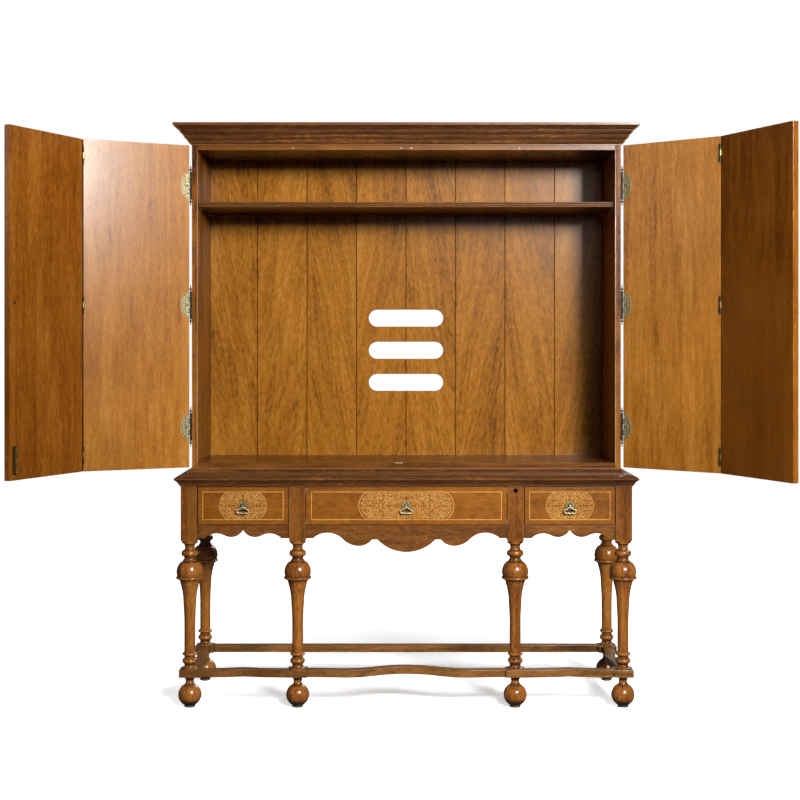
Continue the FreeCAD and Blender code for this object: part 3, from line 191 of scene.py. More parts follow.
# %% Boards side by side
def matched(tree, place, board):
    """Places that jump and slant from board to board, and the share of dark line at the joints."""
    east, height = [add(tree, "SeparateXYZ", place, out=axis) for axis in "XZ"]
    boards = add(tree, "Math", east, board, operation="DIVIDE")
    number = add(tree, "Math", boards, operation="FLOOR")
    jump = add(tree, "VectorMath", BOARD_JUMP, number, operation="SCALE")
    odd = add(tree, "Math", number, 2.0, operation="FLOORED_MODULO")
    lean = add(tree, "MapRange", odd, 0.0, 1.0, BOARD_SLANT, -BOARD_SLANT)
    slant = add(tree, "CombineXYZ", add(tree, "Math", height, lean, operation="MULTIPLY"))
    place = add(tree, "VectorMath", add(tree, "VectorMath", place, jump), slant)
    across = add(tree, "Math", boards, operation="FRACT")
    other = add(tree, "Math", 1.0, across, operation="SUBTRACT")
    nearer = add(tree, "Math", across, other, operation="MINIMUM")
    return place, add(tree, "MapRange", nearer, *JOINT, 0.7, 0.0)


print("boards can be matched")


# %% Figure, fibres and pores
def figured(tree, place, tones, look):
    """The colour of bare stained wood, its fibres and the depth of its pores."""
    drawn, split = [
        add(tree, "Mapping", place, [look["offset"]] * 3, Scale=squeeze)
        for squeeze in (
            [1 / length if axis == look["grain"] else 1.0 for axis in "XYZ"]
            for length in (GRAIN_STRETCH, FIBRE_STRETCH)
        )
    ]
    sweep, fibres, flecks, waves, streaks, clouds = [
        add(tree, "TexNoise", where, 1 / size, detail, roughness, Distortion=distortion)
        for where, size, detail, roughness, distortion in (
            (drawn, FIGURE_WIDTH, 2.0, 0.4, 0.0),
            (split, FIBRE_WIDTH, 3.0, 0.6, 0.0),
            (drawn, PORE_WIDTH, 2.0, 0.5, 0.0),
            (place, MOTTLE_SIZE, 3.0, 0.6, 0.6),
            (drawn, STREAK_WIDTH, 3.0, 0.55, 0.0),
            (place, STAIN_SIZE, 2.0, 0.5, 0.0),
        )
    ]
    rings = add(tree, "Math", sweep, look["rings"] * math.tau, operation="MULTIPLY")
    lines = add(tree, "Math", rings, operation="SINE")
    quarter = look["figure"] / 4
    tone = add(tree, "MapRange", lines, -1.0, 1.0, 0.5 - quarter, 0.5 + quarter)
    amounts = {"figure": sweep, "fibre": fibres, "streak": streaks, "mottle": waves, "stain": clouds}
    for name, layer in amounts.items():
        half = look[name] / 2
        tone = add(tree, "Math", tone, add(tree, "MapRange", layer, 0.25, 0.75, -half, half))
    colour = add(tree, "ValToRGB", tone)
    stops = colour.node.color_ramp.elements
    for position in (0.36, 0.62):
        stops.new(position)
    for stop, position, swatch in zip(stops, (0.0, 0.36, 0.62, 1.0), tones):
        stop.position, stop.color = position, linear(swatch)
    pore = add(tree, "MapRange", flecks, 0.36, 0.44, look["pores"], 0.0)
    return add(tree, "Mix", pore, colour, linear(tones[0]), data_type="RGBA"), fibres, pore


print("figure ready")

# %% [markdown]
# Handling shows as well, and painted light with it. Glaze is wiped off the open faces and stays in
# every hollow, so the material asks how much open space a point sees and darkens the hollows, which
# is glaze and painted shade at once. Rubbing thins the stain on sharp edges, and there the same
# question is asked from inside the wood; the pale edges are wear and a painted highlight. The square
# blocks of the legs are painted darker above a height, as shade.


# %% Glaze, wear, painted shade and highlight, and the finished wood
def handled(tree, place, colour, tones, look):
    """Specks, glaze and painted shade, wear and painted highlight, blocks painted as shade, in turn."""
    layers = []
    if look["specks"]:
        dots = add(tree, "TexNoise", place, 1 / SPECK_SIZE, 1.0, 0.3)
        layers.append((add(tree, "MapRange", dots, 0.27, 0.235, 0.0, look["specks"]), "#1E1008"))
    # glaze and painted shade: the less open space a point sees, the darker it is painted
    if look["glaze"]:
        sky = add(tree, "AmbientOcclusion", Distance=look["glaze_reach"], samples=6, out="AO")
        layers.append((add(tree, "MapRange", sky, 0.62, 0.97, look["glaze"], 0.0), "#1D0C04"))
    # wear and painted highlight: a sharp edge, seen from inside the wood, is painted paler
    if look["worn"]:
        depth = add(tree, "AmbientOcclusion", Distance=WEAR_HIGHLIGHT_REACH, samples=6, inside=True, out="AO")
        layers.append((add(tree, "MapRange", depth, 0.6, 0.97, look["worn"], 0.0), tones[3]))
    # painted shade: the flat square blocks of the legs are painted darker than the turnings
    if look["blocks"]:
        low, high = look["blocks"], look["blocks"] + BLOCK_SHADE_FADE
        level = add(tree, "SeparateXYZ", place, out="Z")
        layers.append((add(tree, "MapRange", level, low, high, 0.0, 0.42), "#2E1605"))
    for share, swatch in layers:
        colour = add(tree, "Mix", share, colour, linear(swatch), data_type="RGBA")
    return colour


def wood(name, tones, **changes):
    """Walnut in four tones from dark to light, with the usual amounts but for these changes."""
    look = USUAL | changes
    material, tree, place = started(name)
    if look["board"]:
        place, joint = matched(tree, place, look["board"])
    colour, fibres, pore = figured(tree, place, tones, look)
    if look["board"]:
        colour = add(tree, "Mix", joint, colour, linear("#280F04"), data_type="RGBA")
    half = add(tree, "Math", fibres, 0.5, operation="MULTIPLY")
    height = add(tree, "Math", half, pore, operation="SUBTRACT")
    sockets = {
        "Base Color": handled(tree, place, colour, tones, look),
        "Roughness": add(tree, "MapRange", fibres, 0.3, 0.7, look["gloss"] + 0.06, look["gloss"] - 0.06),
        "IOR": 1.5,
        "Specular IOR Level": look["specular"],
        "Coat Weight": look["coat"],
        "Coat Roughness": 0.2,
        "Normal": add(tree, "Bump", Height=height, Strength=0.25, Distance=0.3 * MM),
    }
    return surfaced(material, sockets)


print("wood builder ready")

# %% [markdown]
# ## The woods of this piece
#
# The same tree and the same stain, cut and placed differently: upright grain on doors, sides and
# back boards, level grain on rails and mouldings, turned stock that shows end grain in its beads,
# and burl on the drawer fronts.

# %% Woods
woods = {
    # sliced veneer, lacquered: quiet broad figure and a soft even sheen
    "inner_door": wood(
        "walnut_door_veneer_lacquered", ("#552B0C", "#965D1B", "#A96E28", "#C18541"),
        figure=0.26, rings=5.0, fibre=0.52, streak=0.36, pores=0.12, gloss=0.24,
    ),
    # the same veneer from another place in the log, painted darker as shade for the panels turned away from
    # the lamps, with more contrast
    "outer_door": wood(
        "walnut_outer_door_veneer_painted_shade", ("#3F1F06", "#7F450D", "#935616", "#AD6F28"),
        figure=0.3, rings=5.0, offset=3.7,
    ),
    # glued solid boards, stained: the figure changes at each dark joint line
    "back": wood(
        "walnut_back_boards_stained", ("#412309", "#7F4F15", "#945F1E", "#A97630"),
        board=174.7 * MM, figure=0.36, rings=10.0, streak=0.09, stain=0.2, mottle=0.16,
        pores=0.05, gloss=0.22, coat=0.06,
    ),
    # solid boards, glazed and left matt: dull, speckled, darker towards the corners with glaze and painted
    # shade
    "case": wood(
        "walnut_case_boards_glazed", ("#2E1605", "#6B3C10", "#855017", "#9F6725"),
        glaze=0.5, specks=0.5, gloss=0.4, specular=0.1, coat=0.0,
    ),
    # the same boards laid level: grain from side to side, dark in the corners with glaze and painted shade
    "case_level": wood(
        "walnut_level_boards_glazed", ("#241104", "#55300F", "#6B4016", "#835321"),
        grain="X", glaze=0.5, coat=0.05,
    ),
    # planed mouldings, heavily glazed and rubbed: coves nearly black with glaze and painted shade, edges
    # pale with wear and a painted highlight
    "moulding": wood(
        "walnut_moulding_dark_glazed", ("#1A0C04", "#4A2911", "#5C371A", "#94602F"),
        grain="X", figure=0.25, glaze=0.95, glaze_reach=20 * MM, worn=0.9, gloss=0.34, coat=0.3,
    ),
    # turned and polished on the lathe: bright round highlights over coves darkened with glaze and painted
    # shade, pale worn edges with a painted highlight, and square blocks painted darker as shade
    "turned": wood(
        "walnut_turned_french_polished", ("#351808", "#844C1B", "#A26426", "#C3843F"),
        figure=0.3, rings=6.0, streak=0.14, pores=0.1, glaze=1.0, glaze_reach=32 * MM, worn=0.6,
        specks=0.8, gloss=0.25, coat=0.6, blocks=545 * MM,
    ),
    # sawn to its curve and polished: glossy, with specks and painted shade in its corners
    "turned_level": wood(
        "walnut_stretcher_french_polished", ("#2E1605", "#69411C", "#835829", "#A2723C"),
        grain="X", figure=0.4, glaze=0.5, specks=0.5, gloss=0.3, coat=0.3,
    ),
    # burl veneer, polished: no long streaks, a lively mottle instead, darker with glaze and painted shade
    # where it meets its neighbours
    "veneer": wood(
        "walnut_burl_veneer_polished", ("#3A1C05", "#75420E", "#8C5415", "#A66C20"),
        grain="X", figure=0.2, rings=8.0, fibre=0.4, streak=0.06, mottle=0.24, pores=0.07,
        glaze=0.6, gloss=0.34, coat=0.3,
    ),
    # plain veneer under the drawers, polished: darker and calmer than the burl, with glaze and painted
    # shade in its corners
    "apron": wood(
        "walnut_apron_veneer_polished", ("#2E1505", "#603613", "#76481D", "#8E5E2B"),
        grain="X", figure=0.28, streak=0.14, mottle=0.14, pores=0.1, glaze=0.6, gloss=0.34, coat=0.3,
    ),
    # poplar, only sealed: pale and dull beside the walnut
    "inside": wood(
        "poplar_drawer_sides_clear_sealed", ("#8C6A40", "#B8925F", "#C9A674", "#D9BA8C"),
        grain="Y", figure=0.3, mottle=0.1, stain=0.2, gloss=0.5, coat=0.05,
    ),
}
print(len(woods), "woods")

# %% [markdown]
# ## Cast and turned brass
#
# The mounts are cast brass, tinted dark and rubbed back, so that hollows stay brown and the high
# places shine. Cast metal has a soft, slightly lumpy surface. Old tinted lacquer leaves a dull film
# on it, so the cast mounts are only partly metallic, and keep their olive tone from every side.


# %% Brass
def brass(name, bright, dark, roughness, patina, metal=1.0):
    """Brass rubbed bright on its high places and dark in its hollows; metal is what no film hides."""
    material, tree, place = started(name)
    sky = add(tree, "AmbientOcclusion", Distance=3 * MM, samples=8, only_local=True, out="AO")
    smoke = add(tree, "TexNoise", place, 1 / (6 * MM), 4.0, 0.55)
    hollow = add(tree, "MapRange", sky, 0.5, 0.95, patina, 0.0)
    cloud = add(tree, "MapRange", smoke, 0.35, 0.7, 0.0, patina * 0.6)
    shade = add(tree, "Math", hollow, cloud, operation="MAXIMUM")
    sockets = {
        "Base Color": add(tree, "Mix", shade, linear(bright), linear(dark), data_type="RGBA"),
        "Roughness": add(tree, "MapRange", smoke, 0.3, 0.7, roughness - 0.08, roughness + 0.1),
        "Metallic": metal,
        "Normal": add(tree, "Bump", Height=smoke, Strength=0.3, Distance=0.2 * MM),
    }
    return surfaced(material, sockets)


metals = {
    # cast, toned and rubbed back: dull olive gold with brown hollows
    "antique": brass("brass_cast_antiqued", "#C2B386", "#4A3F22", 0.48, 0.62, 0.45),
    # cast and blackened: a dark ground that sets off the relief
    "ground": brass("brass_cast_blackened", "#383019", "#161108", 0.5, 0.8, 0.6),
    # drawn and aged bare: smooth and yellow outside, brown in its corners
    "plain": brass("brass_drawn_aged", "#A08C58", "#4A3A1B", 0.33, 0.6),
    # turned and nickel plated: small grey-white glints
    "bright": brass("brass_turned_nickel_plated", "#D9D3C4", "#8C8677", 0.3, 0.3, 0.6),
    # rolled and polished: an even pale yellow strip
    "polished": brass("brass_rolled_polished", "#EADFB6", "#A8935C", 0.3, 0.3, 0.5),
}
print(len(metals), "metals")

# %% [markdown]
# ## Small things
#
# Nylon glides, clear polyurethane bumpers and the dark lens of the remote eye.


# %% Plastics and the lens
def plain(name, swatch, roughness, grain, **sockets):
    """A moulded surface with a fine grain in its gloss."""
    material, tree, place = started(name)
    cloud = add(tree, "TexNoise", place, 1 / grain, 3.0, 0.55)
    tone = add(tree, "MapRange", cloud, 0.3, 0.7, 0.9, 1.08)
    sockets = {socket.replace("_", " "): value for socket, value in sockets.items()}
    sockets["Base Color"] = add(tree, "VectorMath", linear(swatch)[:3], tone, operation="SCALE")
    sockets["Roughness"] = add(tree, "MapRange", cloud, 0.3, 0.7, roughness, roughness + 0.1)
    return surfaced(material, sockets)


small = {
    # moulded nylon: flat grey-brown without a highlight
    "glide": plain("nylon_moulded_glide", "#5B5348", 0.5, 1.5 * MM),
    # cast polyurethane: a yellowish drop that lets some light through
    "bumper": plain("polyurethane_cast_bumper", "#D9CDB4", 0.25, 2 * MM, Transmission_Weight=0.35),
    # polished acrylic: almost black with one sharp highlight
    "lens": plain("acrylic_infrared_lens", "#120606", 0.06, 4 * MM, Coat_Weight=1.0),
}
print(len(small), "small materials")

# %% [markdown]
# ## Which piece has which finish

# %% Finishes on the frame's own solids
FINISHES = {
    woods["inner_door"]: ["left_inner_door", "right_inner_door"],
    # the outer panels take the veneer painted darker as shade
    woods["outer_door"]: ["left_outer_door", "right_outer_door"],
    woods["back"]: ["back_boards", "slotted_back_boards"],
    woods["case"]: ["case_left_side", "case_right_side"],
    woods["case_level"]: ["case_floor", "case_top", "case_rails"],
    woods["moulding"]: ["crown_moulding", "base_moulding", "stand_top", "shelf"],
    woods["turned"]: [name for name in nodes if name.endswith("_leg")] + ["ball_feet"],
    woods["turned_level"]: ["front_stretcher", "rear_stretcher", "side_stretchers"],
    woods["veneer"]: ["left_drawer_front", "right_drawer_front", "centre_fall_front"],
    woods["apron"]: ["front_aprons", "end_panels"],
    woods["inside"]: [name for name in nodes if name.endswith("_drawer_box")]
    + ["stand_back_panel", "drawer_dividers", "drawer_runners"],
    metals["ground"]: [name for name in nodes if name.endswith(("_pull", "_plate", "_rose", "_bail"))]
    + ["case_hinges", "left_inner_door_hinges", "right_inner_door_hinges"],
    metals["plain"]: ["left_outer_door_hinges", "right_outer_door_hinges"]
    + ["slide_bolt_body", "slide_bolt_rod"],
    metals["polished"]: ["bolt_strike"],
    metals["bright"]: ["shelf_pins", "centre_flap_fittings"],
    small["glide"]: ["foot_glides"],
    small["bumper"]: ["door_bumpers"],
    small["lens"]: ["remote_eye"],
}


def finish(piece, material):
    """One material over a whole piece."""
    piece.data.materials.clear()
    piece.data.materials.append(material)


for material, names in FINISHES.items():
    for name in names:
        finish(nodes[name], material)
bare = sorted(set(nodes) - {name for names in FINISHES.values() for name in names})
print("solids without a finish:", bare)

# %% [markdown]
# ## Hand tools
#
# Every new piece starts as a small primitive and is shaped in edit mode. The helpers below do what
# a hand does with the mouse: let go of everything, pick by place, carry a strip along a path,
# copy a sprig to its place, and join.

# %% Letting go and picking
EDGE_ON = (math.radians(90), 0, 0)  # turns a primitive that lies flat so that it faces the front


def rest():
    """Object mode with nothing selected."""
    if bpy.context.mode != "OBJECT":
        bpy.ops.object.mode_set(mode="OBJECT")
    bpy.ops.object.select_all(action="DESELECT")


def hold(piece):
    """Only this piece selected and active."""
    rest()
    piece.select_set(True)
    bpy.context.view_layer.objects.active = piece
    return piece


def started_piece(name, primitive, **settings):
    """A primitive turned and placed, with that place in its mesh, opened in edit mode."""
    rest()
    primitive(**settings)
    piece = bpy.context.object
    piece.name = name
    bpy.ops.object.transform_apply(location=True, rotation=True, scale=True)
    bpy.ops.object.mode_set(mode="EDIT")
    return piece


def pick(test, faces=False):
    """In edit mode, the vertices (or faces) for whose place and normal the test holds."""
    mesh = bmesh.from_edit_mesh(bpy.context.edit_object.data)
    bpy.ops.mesh.select_all(action="DESELECT")
    for item in mesh.faces if faces else mesh.verts:
        place = item.calc_center_median() if faces else item.co
        if test(place, item.normal):
            item.select = True
    mesh.select_flush(True)
    bmesh.update_edit_mesh(bpy.context.edit_object.data)


def reopened(piece):
    """The piece back in edit mode with everything selected."""
    hold(piece)
    bpy.ops.object.mode_set(mode="EDIT")
    bpy.ops.mesh.select_all(action="SELECT")


def sliced(place, normal, **cleared):
    """In edit mode, everything cut by a plane, and perhaps what lies to one side taken away."""
    bpy.ops.mesh.select_all(action="SELECT")
    bpy.ops.mesh.bisect(plane_co=place, plane_no=normal, **cleared)


def modified(piece, kind, **settings):
    """A modifier added and applied at once."""
    hold(piece)
    modifier = piece.modifiers.new(kind.lower(), kind)
    for name, value in settings.items():
        setattr(modifier, name, value)
    bpy.ops.object.modifier_apply(modifier=modifier.name)
    return piece


def mirrored(piece, x=False, z=False):
    """The piece and its image across the middle, side to side or up and down, merged at the seam."""
    return modified(piece, "MIRROR", use_axis=(x, False, z), merge_threshold=0.01 * MM)


print("ready to model")


# %% Placing, joining and thickening
def copied(piece, name):
    copy = piece.copy()
    copy.data = piece.data.copy()
    copy.name = name
    bpy.context.scene.collection.objects.link(copy)
    return copy


def placed(template, x=0.0, z=0.0, angle=0.0, scale=1.0, hand=1):
    """A copy of a flat template, turned anticlockwise as seen from the front; hand -1 mirrors it."""
    copy = copied(template, template.name)
    copy.location = (x, 0, z)
    copy.rotation_euler = (0, -math.radians(angle), 0)
    copy.scale = (scale, scale, scale * hand)
    return copy


def joined(name, pieces):
    """Several pieces as one, with its place in its mesh."""
    rest()
    for piece in pieces:
        piece.select_set(True)
    bpy.context.view_layer.objects.active = pieces[0]
    bpy.ops.object.join()
    bpy.ops.object.transform_apply(location=True, rotation=True, scale=True)
    bpy.context.object.name = name
    return bpy.context.object


def thrown_away(*pieces):
    for piece in pieces:
        bpy.data.objects.remove(piece)


def thickened(piece, thickness, edge=0.0):
    """A flat sheet that faces the front, made this thick, with its edges rounded over."""
    reopened(piece)
    pick(lambda place, normal: normal.y > 0, faces=True)
    bpy.ops.mesh.flip_normals()
    rest()
    modified(piece, "SOLIDIFY", thickness=thickness, offset=0.0)
    if edge:
        modified(piece, "BEVEL", width=edge, segments=1, limit_method="ANGLE", angle_limit=math.radians(50))
    return piece


def moved(piece, matrix, mirrored=False):
    """The mesh carried to its place; one that is mirrored has its faces turned out again."""
    piece.data.transform(matrix)
    if mirrored:
        reopened(piece)
        bpy.ops.mesh.flip_normals()
        rest()
    return piece


def settled(piece, material, body, slot, *replaced, smooth=35):
    """Finish (unless it has one), body, and the solids it stands for; the slot is not used."""
    if material:
        finish(piece, material)
    hold(piece)
    if smooth:
        bpy.ops.object.shade_smooth_by_angle(angle=math.radians(smooth))
    else:
        bpy.ops.object.shade_flat()
    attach(piece, body)
    if replaced:
        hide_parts(*replaced)
    rest()
    return piece


print("ready to place")

# %% [markdown]
# ## A leaf, cut along a path
#
# The drawers carry seaweed marquetry, an old pattern of thin scrolling stems and small leaves,
# fretted from pale wood in one packet and let into the walnut. Its parts repeat: a leaf, a fan of
# leaves, a curl and a large scroll.
#
# Each starts as one small square. Its leading edge is extruded step by step, turned a little after
# each step, and scaled to the width wanted there, which is how a path is followed by hand.

# %% A strip along a path
def strip(name, turns, stride, widths):
    """A flat strip from the origin towards +X, and the places it went through, in millimetres."""
    piece = started_piece(name, bpy.ops.mesh.primitive_plane_add, size=1.0, rotation=EDGE_ON)
    bpy.ops.transform.resize(value=(stride * MM, 1, widths[0] * MM))
    bpy.ops.transform.translate(value=(stride * MM / 2, 0, 0))
    pick(lambda place, normal: place.x > stride * MM / 2)
    x, z, heading, path = 0.0, 0.0, 0.0, [(0.0, 0.0, 0.0)]
    for step, turn in enumerate(turns):
        along = Vector((stride * math.cos(heading), 0, stride * math.sin(heading)))
        x, z, heading = x + along.x, z + along.z, heading + math.radians(turn)
        if step:
            bpy.ops.mesh.extrude_region_move(TRANSFORM_OT_translate={"value": along * MM})
        centre = Vector((x, 0, z)) * MM
        ratio = widths[step + 1] / widths[step]
        bpy.ops.transform.resize(value=(ratio, ratio, ratio), center_override=centre)
        bpy.ops.transform.rotate(value=math.radians(turn), orient_axis="Y", center_override=centre)
        path.append((x, z, math.degrees(heading)))
    rest()
    return piece, path


def centred(piece):
    """The template moved so that the middle of its box is at the origin."""
    hold(piece)
    bpy.ops.object.origin_set(type="ORIGIN_GEOMETRY", center="BOUNDS")
    piece.location = (0, 0, 0)
    return piece


leaf_at_root, _ = strip("leaf", [10] * 5, 1.7, [0.7, 2.0, 2.7, 2.3, 1.4, 0.3])
print("a leaf of", [round(d / MM, 1) for d in leaf_at_root.dimensions], "mm")


# %% Curls and scrolls with leaves on both sides
def scroll(name, steps, stride, bend, tightening, tail, leaf_size):
    """A stem that bends away once and then winds in, with leaves outside and inside."""
    turns = [-bend * 1.3] * tail + [bend * tightening**i for i in range(steps)]
    count = len(turns)
    widths = [0.84 + 0.6 * i / count for i in range(count - 2)] + [2.2, 2.6, 1.2]
    stem, path = strip(name, turns, stride, widths)
    pieces = [stem]
    for i in range(2, count - 3, 3):
        x, z, heading = path[i]
        size = leaf_size * min(1.0, max(0.45, stride / math.radians(abs(turns[i])) / 16))
        pieces.append(placed(leaf_at_root, x * MM, z * MM, heading - 46, size, -1))
        if i + 1 < count - 6:
            x, z, heading = path[i + 1]
            pieces.append(placed(leaf_at_root, x * MM, z * MM, heading + 44, size * 0.8))
    return centred(joined(name, pieces))


fan_leaves = ((-70, 0.75, -1), (-35, 1.0, -1), (0, 1.25, 1), (35, 1.0, 1), (70, 0.75, 1))
SPRIGS = {
    "scroll": scroll("scroll", 30, 2.0, 7.6, 1.066, 5, 1.15),
    "curl": scroll("curl", 17, 1.7, 10.5, 1.09, 4, 0.95),
    "fan": centred(joined("fan", [placed(leaf_at_root, 0, 0, *leaf) for leaf in fan_leaves])),
    "leaf": centred(copied(leaf_at_root, "single_leaf")),
}
print({name: len(sprig.data.polygons) for name, sprig in SPRIGS.items()})

# %% [markdown]
# ## The marquetry
#
# A cutter fills the ground with large scrolls first and tucks smaller sprigs into what is left.
# Here a sprig is turned, mirrored and dropped on the field by chance, a little smaller at each
# try, and stays if it lies inside and clear of the others. The chance starts from a fixed seed,
# so each run lays the same pattern.
#
# Only a quarter of each medallion is filled, and two mirrors make the whole. The long medallion
# has the same ends as the short ones, set further apart, and a middle of its own. All lengths in
# this cell and the next are in millimetres.

# %% Sprigs dropped by chance
CELL = 0.15  # of the grid in which covered ground is marked
GRID = 80.0  # its side
NEAR = ((0, 0), (1, 0), (-1, 0), (0, 1), (0, -1))  # the cell of a point and those beside it
STEPS = np.linspace(0, 1, 9)


def corners_of(sprig):
    """The corners of each four-sided face of a flat sprig."""
    mesh = sprig.data
    return np.array([[mesh.vertices[i].co.xz for i in face.vertices] for face in mesh.polygons]) / MM


def points_over(faces):
    """Points spread evenly over every face."""
    u, v = [grid.reshape(-1, 1) for grid in np.meshgrid(STEPS, STEPS)]
    a, b, c, d = [faces[:, [i]] for i in range(4)]
    return ((1 - v) * ((1 - u) * a + u * b) + v * ((1 - u) * d + u * c)).reshape(-1, 2)


def dropped(points, x, z, angle, scale, hand):
    """Where a sprig's points come to lie, turned and mirrored as placed() does it."""
    cosine, sine = math.cos(math.radians(angle)), math.sin(math.radians(angle))
    east, up = points[:, 0] * scale, points[:, 1] * scale * hand
    return x + east * cosine - up * sine, z + east * sine + up * cosine


CORNERS = {kind: corners_of(sprig) for kind, sprig in SPRIGS.items()}
POINTS = {kind: points_over(faces) for kind, faces in CORNERS.items()}


def filled(seed, inside, widths, heights, sizes):
    """Rows of kind, x, z, angle, scale and hand that fill a field, the large kinds first."""
    chance = random.Random(seed)
    taken = np.zeros((round(GRID / CELL),) * 2, bool)
    rows = []
    for kind, (tries, largest, smallest) in sizes.items():
        for attempt in range(tries):
            x, z = round(chance.uniform(*widths), 1), round(chance.uniform(*heights), 1)
            angle, hand = chance.randrange(0, 360, 5), chance.choice((1, -1))
            scale = round(largest + (smallest - largest) * attempt / tries, 2)
            turn = (x, z, angle, scale, hand)
            if not inside(*dropped(CORNERS[kind].reshape(-1, 2), *turn)).all():
                continue
            east, up = [(line / CELL).astype(int) for line in dropped(POINTS[kind], *turn)]
            if taken[east, up].any():
                continue
            for over, above in NEAR:
                taken[east + over, up + above] = True
            rows.append((kind, *turn))
    return rows


print({kind: len(points) for kind, points in POINTS.items()}, "points")

# %% Both fields of the medallions
MARGIN = 0.5  # left free at the mirror lines
GROUND_TOP = 43.2  # the tips may run just into the inner line of stringing, here and at the end
ROUND_CENTRE, ROUND_RADIUS = 27.0, 47.4  # of the rounded end
MIDDLE_REACH = 76.0
SIZES = {  # tries, first and last scale
    "scroll": (5000, 1.0, 0.8),
    "curl": (6000, 0.95, 0.6),
    "fan": (5000, 1.0, 0.5),
    "leaf": (5000, 1.0, 0.6),
}


def on_end(x, z):
    """Inside a quarter of a short medallion."""
    round_end = (x < ROUND_CENTRE) | (np.hypot(x - ROUND_CENTRE, z) < ROUND_RADIUS)
    return (x > MARGIN) & (z > MARGIN) & (z < GROUND_TOP) & round_end


def on_middle(x, z):
    """Inside a quarter of the long medallion's middle."""
    return (x > MARGIN) & (x < MIDDLE_REACH) & (z > MARGIN) & (z < GROUND_TOP)


end_rows = filled(1, on_end, (2, 77), (2, 45), SIZES)
middle_rows = filled(0, on_middle, (2, 77), (2, 45), SIZES)
print(len(end_rows), "sprigs in an end,", len(middle_rows), "in the middle")


# %% Medallions
def laid_out(name, rows, shift=0.0):
    """The sprigs of these rows, joined."""
    sprigs = [placed(SPRIGS[kind], (x + shift) * MM, z * MM, *turn) for kind, x, z, *turn in rows]
    return joined(name, sprigs)


MIDDLE_WIDTH = 75.5 * MM
INLAY = 0.16 * MM  # most of it stands proud, so that a view along the drawer still finds it
quarter_end = laid_out("short_foliage", end_rows)
long_end = laid_out("long_end", end_rows, MIDDLE_WIDTH / MM)
long_foliage = joined("long_foliage", [long_end, laid_out("long_middle", middle_rows)])
short_foliage = mirrored(quarter_end, x=True, z=True)
long_foliage = mirrored(long_foliage, x=True, z=True)
print(len(short_foliage.data.polygons), "and", len(long_foliage.data.polygons), "flat faces")

# %% [markdown]
# ## Stringing
#
# A double line of the same pale wood rounds each medallion, and a single line runs round the
# drawer front, parallel to its edge. Both are insets: a face is inset by the line's width, and
# what is left inside is taken away.

# %% Lines round the medallions and the drawer fronts
LINE = 1.1 * MM
LINE_GAP = 1.7 * MM


def oval(name, reach, radius, height):
    """A medallion's outline as one face: two arcs, reach apart from the middle, cut level."""
    piece = started_piece(
        name,
        bpy.ops.mesh.primitive_circle_add,
        vertices=96,
        radius=radius,
        fill_type="NGON",
        rotation=EDGE_ON,
    )
    sliced((0, 0, 0), (1, 0, 0), clear_inner=True)
    bpy.ops.mesh.select_all(action="SELECT")
    bpy.ops.transform.translate(value=(reach, 0, 0))
    pick(lambda place, normal: place.x < reach + 0.01 * MM)
    bpy.ops.mesh.extrude_region_move(TRANSFORM_OT_translate={"value": (-reach, 0, 0)})
    for side in (1, -1):
        sliced((0, 0, side * height), (0, 0, side), clear_outer=True)
    mirrored(piece, x=True)
    reopened(piece)
    bpy.ops.mesh.dissolve_limited(angle_limit=math.radians(0.5))
    return piece


def double_line(piece):
    """The open outline in edit mode becomes a line, a gap and a line."""
    bpy.ops.mesh.select_all(action="SELECT")
    bpy.ops.mesh.inset(thickness=LINE)
    bpy.ops.mesh.hide(unselected=True)
    bpy.ops.mesh.inset(thickness=LINE_GAP)
    bpy.ops.mesh.select_all(action="INVERT")
    bpy.ops.mesh.delete(type="FACE")
    bpy.ops.mesh.select_all(action="SELECT")
    bpy.ops.mesh.inset(thickness=LINE)
    bpy.ops.mesh.delete(type="FACE")
    bpy.ops.mesh.reveal(select=False)
    rest()
    return piece


def frame_line(name, width, height, line):
    """A rectangular line around the origin."""
    piece = started_piece(name, bpy.ops.mesh.primitive_plane_add, size=1.0, rotation=EDGE_ON)
    bpy.ops.transform.resize(value=(width, 1, height))
    bpy.ops.mesh.inset(thickness=line)
    bpy.ops.mesh.delete(type="FACE")
    rest()
    return piece


OUTLINE_HEIGHT = 46.5 * MM  # from the middle up; the reaches run from the middle outwards
SHORT_REACH, SHORT_RADIUS = 27 * MM, 51 * MM
LONG_REACH, LONG_RADIUS = 103.5 * MM, 53 * MM
short_outline = double_line(oval("short_outline", SHORT_REACH, SHORT_RADIUS, OUTLINE_HEIGHT))
long_outline = double_line(oval("long_outline", LONG_REACH, LONG_RADIUS, OUTLINE_HEIGHT))
print("outlines", [round(d / MM, 1) for d in (*short_outline.dimensions, *long_outline.dimensions)])

